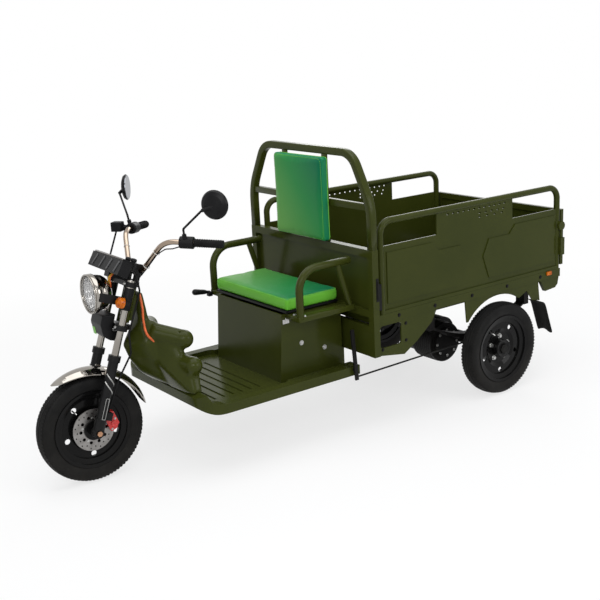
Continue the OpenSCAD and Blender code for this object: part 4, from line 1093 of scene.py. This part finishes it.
hoop_set("motor_fins", "chassis", iron, fins, 0.0995, 0.0024)
print("hoops:", len(ridges) + len(ties["left"]) + len(ties["right"]) + len(fins))

# %% [markdown]
# More fasteners: clamps of the fork, brake disc, motor cover, caliper and armrest feet. They use the
# same tree as before, one call for each place, with the size of head that such a joint takes. The
# caliper also has a round cap over its piston.

# %% More fasteners
CALIPER_FACE = 0.0562
CALIPER = HUBS["front"] @ Matrix.Rotation(math.radians(-159), 4, "Y")
CAP = [(0.0001, 0.0), (0.0135, 0.0), (0.0135, 0.002), (0.012, 0.0035), (0.008, 0.0036), (0.007, 0.0024),
       (0.0001, 0.0024)]
ahead_fork = FORK.to_3x3() @ FORWARD
clamp_bolts = [(on_fork(26.8, s * 83, z), ahead_fork) for s in (1, -1) for z in (441, 622)]
bolt_set("clamp_bolts", "steering", zinc, clamp_bolts, 0.0055, 0.005, 0.008)
outward = HUBS["front"].to_3x3() @ LEFT
disc_bolts = [(HUBS["front"] @ polar(0.0505, 0.0382, a), outward) for a in circle(10, 0.5)[::2]]
bolt_set("disc_bolts", "front_wheel", zinc, disc_bolts, 0.0045, 0.003, 0.0056)
cover = [(on_frame(115 + 66 * math.cos(a), 206.1, 225 + 66 * math.sin(a)), LEFT) for a in circle(8)]
bolt_set("motor_bolts", "chassis", zinc, cover, 0.005, 0.004, 0.0075)
grip_bolts = [(CALIPER @ Vector((x, CALIPER_FACE, z)), outward) for x, z in ((0.065, 0.036), (0.096, 0.002))]
bolt_set("caliper_bolts", "steering", zinc, grip_bolts, 0.0036, 0.004, 0.0048)
cap_place = CALIPER @ Matrix.Translation((0.081, CALIPER_FACE - 0.0004, 0.020))
turned("caliper_cap", "steering", looks["caliper_red"], CAP, 28, cap_place)
feet = [(on_frame(x, s * y, 598.2), UP) for x, y in ((1115, 306), (1094, 350)) for s in (1, -1)]
bolt_set("armrest_bolts", "chassis", zinc, feet, 0.0065, 0.005, 0.009)
print("fasteners added:", len(clamp_bolts) + len(disc_bolts) + len(cover) + len(grip_bolts) + len(feet))

# %% [markdown]
# The lower fork legs are cast. A bright outline frames the flat on their outer side and two bright ribs
# wind round the leg above it. The outline is four thin bars, and each rib is a tube that follows a helix
# on the leg.

# %% Fork castings
LEG_ASIDE, LEG_RADIUS = 83, 21.4
RIB_STEPS, RIB_LOW, RIB_PITCH, RIB_RISE = 8, 168, 34, 46
OUTLINE = (((-8, 60), (8, 62.4)), ((-8, 147.6), (8, 150)), ((-8, 60), (-5.6, 150)), ((5.6, 60), (8, 150)))
bright = finish("cast_bright", (0.42, 0.42, 0.41), (0.30, 0.30, 0.29), 40, (0.25, 0.4), metal=1.0,
                grain_scale=600, bump=0.1)
for side, word in ((1, "left"), (-1, "right")):
    bm = bmesh.new()
    inner, outer = sorted((side * 0.1078, side * 0.1092))
    for a, b in OUTLINE:
        slab(bm, (a[0] / 1000, inner, a[1] / 1000), (b[0] / 1000, outer, b[1] / 1000), FORK, 0.0005, 1)
    piece("fork_outline_" + word, "steering", bright, bm, smooth=False)
    for k in range(2):
        wind = []
        for i in range(RIB_STEPS + 1):
            a = math.radians(-70 + 140 * i / RIB_STEPS)
            height = RIB_LOW + RIB_PITCH * k + RIB_RISE * i / RIB_STEPS
            aside = LEG_ASIDE + LEG_RADIUS * math.cos(a)
            wind.append(on_fork(LEG_RADIUS * math.sin(a), side * aside, height))
        tube("fork_rib_%s_%d" % (word, k), "steering", bright, wind, 0.0032)
print("fork castings done")

# %% [markdown]
# The instrument unit is a black block with slanted ribs on its front and a dark gloss window along its
# upper edge. Beside it stand the key switch and two round caps.

# %% Instruments
UNIT = FORK @ Matrix.Translation((0.092, 0, 0.691)) @ Matrix.Rotation(math.radians(-10.8), 4, "Y")
UPRIGHT = Matrix.Rotation(math.radians(90), 4, "X")
SLANT = Matrix.Rotation(math.radians(-24), 4, "X")
KEY = [(0.0001, -0.004), (0.0145, -0.004), (0.0155, -0.002), (0.0155, 0.022), (0.0140, 0.0245),
       (0.0075, 0.0250), (0.0070, 0.0235), (0.0001, 0.0235)]
KNOB = [(0.0001, -0.002), (0.006, -0.002), (0.006, 0.026), (0.0125, 0.029), (0.0135, 0.033),
        (0.0120, 0.0385), (0.0070, 0.0410), (0.0001, 0.0415)]


def boxed(name, body, material, low, high, where, bevel, cut, smooth=True):
    bm = bmesh.new()
    slab(bm, low, high, where, bevel, cut)
    piece(name, body, material, bm, smooth=smooth)


smoke = finish("smoked_window", (0.060, 0.042, 0.028), (0.040, 0.030, 0.022), 12, (0.04, 0.1), coat=0.6,
               grain_scale=120, bump=0.01)
grey = finish("grey_plastic", (0.030, 0.030, 0.032), (0.042, 0.042, 0.044), 20, (0.4, 0.55), grain_scale=700,
              bump=0.15)
boxed("unit_window", "steering", smoke, (-0.0076, -0.143, 0.0272), (-0.0006, 0.143, 0.0338),
      UNIT, 0.0025, 3)
bm = bmesh.new()
for y in (-0.104, -0.030, 0.044, 0.118):
    tilt = UNIT @ Matrix.Translation((0, y, -0.004)) @ SLANT
    slab(bm, (-0.001, -0.006, -0.026), (0.0028, 0.006, 0.026), tilt, 0.0016, 2)
piece("unit_ribs", "steering", grey, bm)
stand = FORK @ Matrix.Translation((0.036, 0.110, 0.690)) @ UPRIGHT
turned("key_switch", "steering", zinc, KEY, 32, stand)
bm = bmesh.new()
for spot in ((0.030, 0.078, 0.690), (0.036, 0.140, 0.692)):
    ring(bm, KNOB, 28, FORK @ Matrix.Translation(spot) @ UPRIGHT)
piece("round_caps", "steering", looks["black_plastic"], bm)
print("instruments done")

# %% [markdown]
# The headlight is a turned shell with a fluted bright bowl, a bulb with a dark cap and a domed glass in
# a bezel. The control box below it shows a plain green patch, and a bracket holds it to the fork stem.

# %% Headlight and control box
LAMP = STEERED @ Matrix.Translation(on_frame(1897.1, 0, 789)) @ Matrix.Rotation(math.radians(-90), 4, "Z")
BOWL = [(0.0757, 0.0030), (0.0735, -0.0060), (0.0690, -0.0160), (0.0610, -0.0270), (0.0490, -0.0370),
        (0.0330, -0.0445), (0.0130, -0.0485)]
BACK = [(0.0, -0.0800), (0.0150, -0.0797), (0.0300, -0.0780), (0.0425, -0.0730), (0.0540, -0.0660),
        (0.0630, -0.0570), (0.0700, -0.0460), (0.0735, -0.0310), (0.0760, -0.0160), (0.0800, -0.0125),
        (0.0820, -0.0080), (0.0820, 0.0050), (0.0805, 0.0090), (0.0785, 0.0100), (0.0765, 0.0080)]
BULB = [(0.0, -0.0488), (0.0110, -0.0488), (0.0110, -0.0300), (0.0078, -0.0265), (0.0078, -0.0150),
        (0.0050, -0.0115), (0.0, -0.0105)]
GLASS_RADIUS = BOWL[0][0]
FLUTES, FLUTE_DEPTH, BOWL_LIFT = 44, 0.0016, 0.0006
DOME_STEPS, GLASS_THICK = 9, 0.0022
BEZEL_RADIUS, BEZEL_WIRE = 0.0795, 0.0032
chrome = looks["chrome"]
shell = turned("lamp_shell", "steering", chrome, BACK + BOWL + [(0.0, -0.0490)], 72, LAMP)
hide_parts("headlight_shell")
bm = bmesh.new()
rows = []
for k, a in enumerate(circle(FLUTES)):
    inner = [r - BOWL_LIFT - FLUTE_DEPTH * (k % 2) * r / GLASS_RADIUS for r, _ in BOWL]
    rows.append([bm.verts.new(LAMP @ polar(r, y + BOWL_LIFT, a)) for r, (_, y) in zip(inner, BOWL)])
skin(bm, rows, wrap_rows=True)
bm.faces.new([row[-1] for row in rows])
bowl = finish("lamp_bowl", (0.42, 0.41, 0.40), (0.30, 0.29, 0.28), 30, (0.08, 0.18), metal=1.0,
              grain_scale=200)
piece("lamp_bowl", "steering", bowl, bm, smooth=False)
turned("lamp_bulb", "steering", looks["slider_black"], BULB, 28, LAMP)
shares = [1 - i / DOME_STEPS for i in range(DOME_STEPS + 1)]
dome = [(GLASS_RADIUS * share, 0.008 + 0.009 * (1 - share ** 2)) for share in shares]
pane = [(r, y - GLASS_THICK) for r, y in reversed(dome)] + dome
cover = turned("lamp_lens", "steering", glass, pane, 72, LAMP)
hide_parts("headlight_lens")
turns = circle(12) + [2 * math.pi]
wire = [(BEZEL_RADIUS + BEZEL_WIRE * math.cos(a), BEZEL_WIRE * math.sin(a)) for a in turns]
turned("lamp_bezel", "steering", chrome, wire, 72, LAMP @ Matrix.Translation((0, 0.0134, 0)))

lime = finish("patch_green", (0.13, 0.46, 0.015), (0.11, 0.40, 0.012), 20, (0.35, 0.45))
front = Vector((0.99, -0.06, -0.15)).normalized()
face = Matrix.Translation(on_frame(1884.9, -43.0, 625.2)) @ front.to_track_quat("X", "Z").to_matrix().to_4x4()
boxed("green_patch", "steering", lime, (-0.0006, -0.013, -0.016), (0.0012, 0.013, 0.016),
      face, 0.0005, 1, smooth=False)
boxed("box_bracket", "steering", looks["slider_black"], (0.008, -0.022, 0.434),
      (0.030, 0.022, 0.448), FORK, 0.0015, 2)
print("headlight trim done")

# %% [markdown]
# The seat box closes with a hasp on its left side, and a strip with a rod holds the bulkhead to the side
# board. Both are cut from flat strip, so boxes with a fine bevel are enough.

# %% Hasp and strip
bm = bmesh.new()
slab(bm, on_frame(1112, 257.8, 552), on_frame(1146, 259.6, 572), bevel=0.0006, cut=1)
slab(bm, on_frame(1124, 259.0, 566), on_frame(1134, 264.0, 580), bevel=0.0008, cut=1)
piece("hasp", "chassis", zinc, bm, smooth=False)
for s, word in ((1, "left"), (-1, "right")):
    near, far = sorted((s * 461.8, s * 464.6))
    boxed("bulkhead_strip_" + word, "chassis", looks["black_plastic"],
          on_frame(770, near, 618), on_frame(784, far, 722), Matrix(), 0.0008, 1, smooth=False)
    rod = [on_frame(777, s * 465, z) for z in (628, 650, 680, 712)]
    tube("bulkhead_rod_" + word, "chassis", iron, rod, 0.003)
print("hasp and strips done")

# %% [markdown]
# Sheet metal of the bed is stiffened with long pressed ribs. They repeat across the floor, so the bar
# tree of the tread sets them out with other sizes.

# %% Floor ribs
slats = [(on_frame(160, y, 548.6), (0, 0, 0)) for y in range(-320, 321, 80)]
bar_set("floor_ribs", "chassis", olive, slats, 1.12, 0.016, 0.003)
print("floor ribs:", len(slats))

# %% [markdown]
# Mud flaps are stiff rubber plates that hang from the arch plates and curl with age. A grid of points
# follows their hanging line, the lower corners swing out, and a Solidify modifier gives the plate its
# thickness.

# %% Mud flaps
FLAP_LINE = [(-264, 410.2), (-278, 408), (-290, 402), (-299, 384), (-309, 355), (-319, 325), (-330, 294),
             (-341, 262), (-350, 238)]
FLAP_MIDDLE, FLAP_HALF, FLAP_THICK = 437, 48.5, 0.005
for s, word in ((1, "left"), (-1, "right")):
    bm = bmesh.new()
    rows = []
    for k, (x, z) in enumerate(FLAP_LINE):
        share = k / (len(FLAP_LINE) - 1)
        row = []
        for side in (i / 5 - 1 for i in range(11)):
            curl = share * share * (7 * side * side - 3 + 3 * math.sin(4.1 * side + 1.3))
            dip = share * 7 * math.cos(3.4 * side + 0.6)
            row.append(bm.verts.new(on_frame(x - curl, s * (FLAP_MIDDLE + FLAP_HALF * side), z + dip)))
        rows.append(row)
    skin(bm, rows)
    bmesh.ops.recalc_face_normals(bm, faces=bm.faces)
    thing = placed("flap_" + word, mesh_of("flap_" + word, bm))
    thick = thing.modifiers.new("thick", "SOLIDIFY")
    thick.thickness = FLAP_THICK
    thick.offset = 0
    soft = thing.modifiers.new("soft", "SUBSURF")
    soft.levels = soft.render_levels = 1
    flap = piece("flap_" + word, "chassis", black, mesh=settled(thing))
    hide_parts("mudflaps")
print("mud flaps: 2")
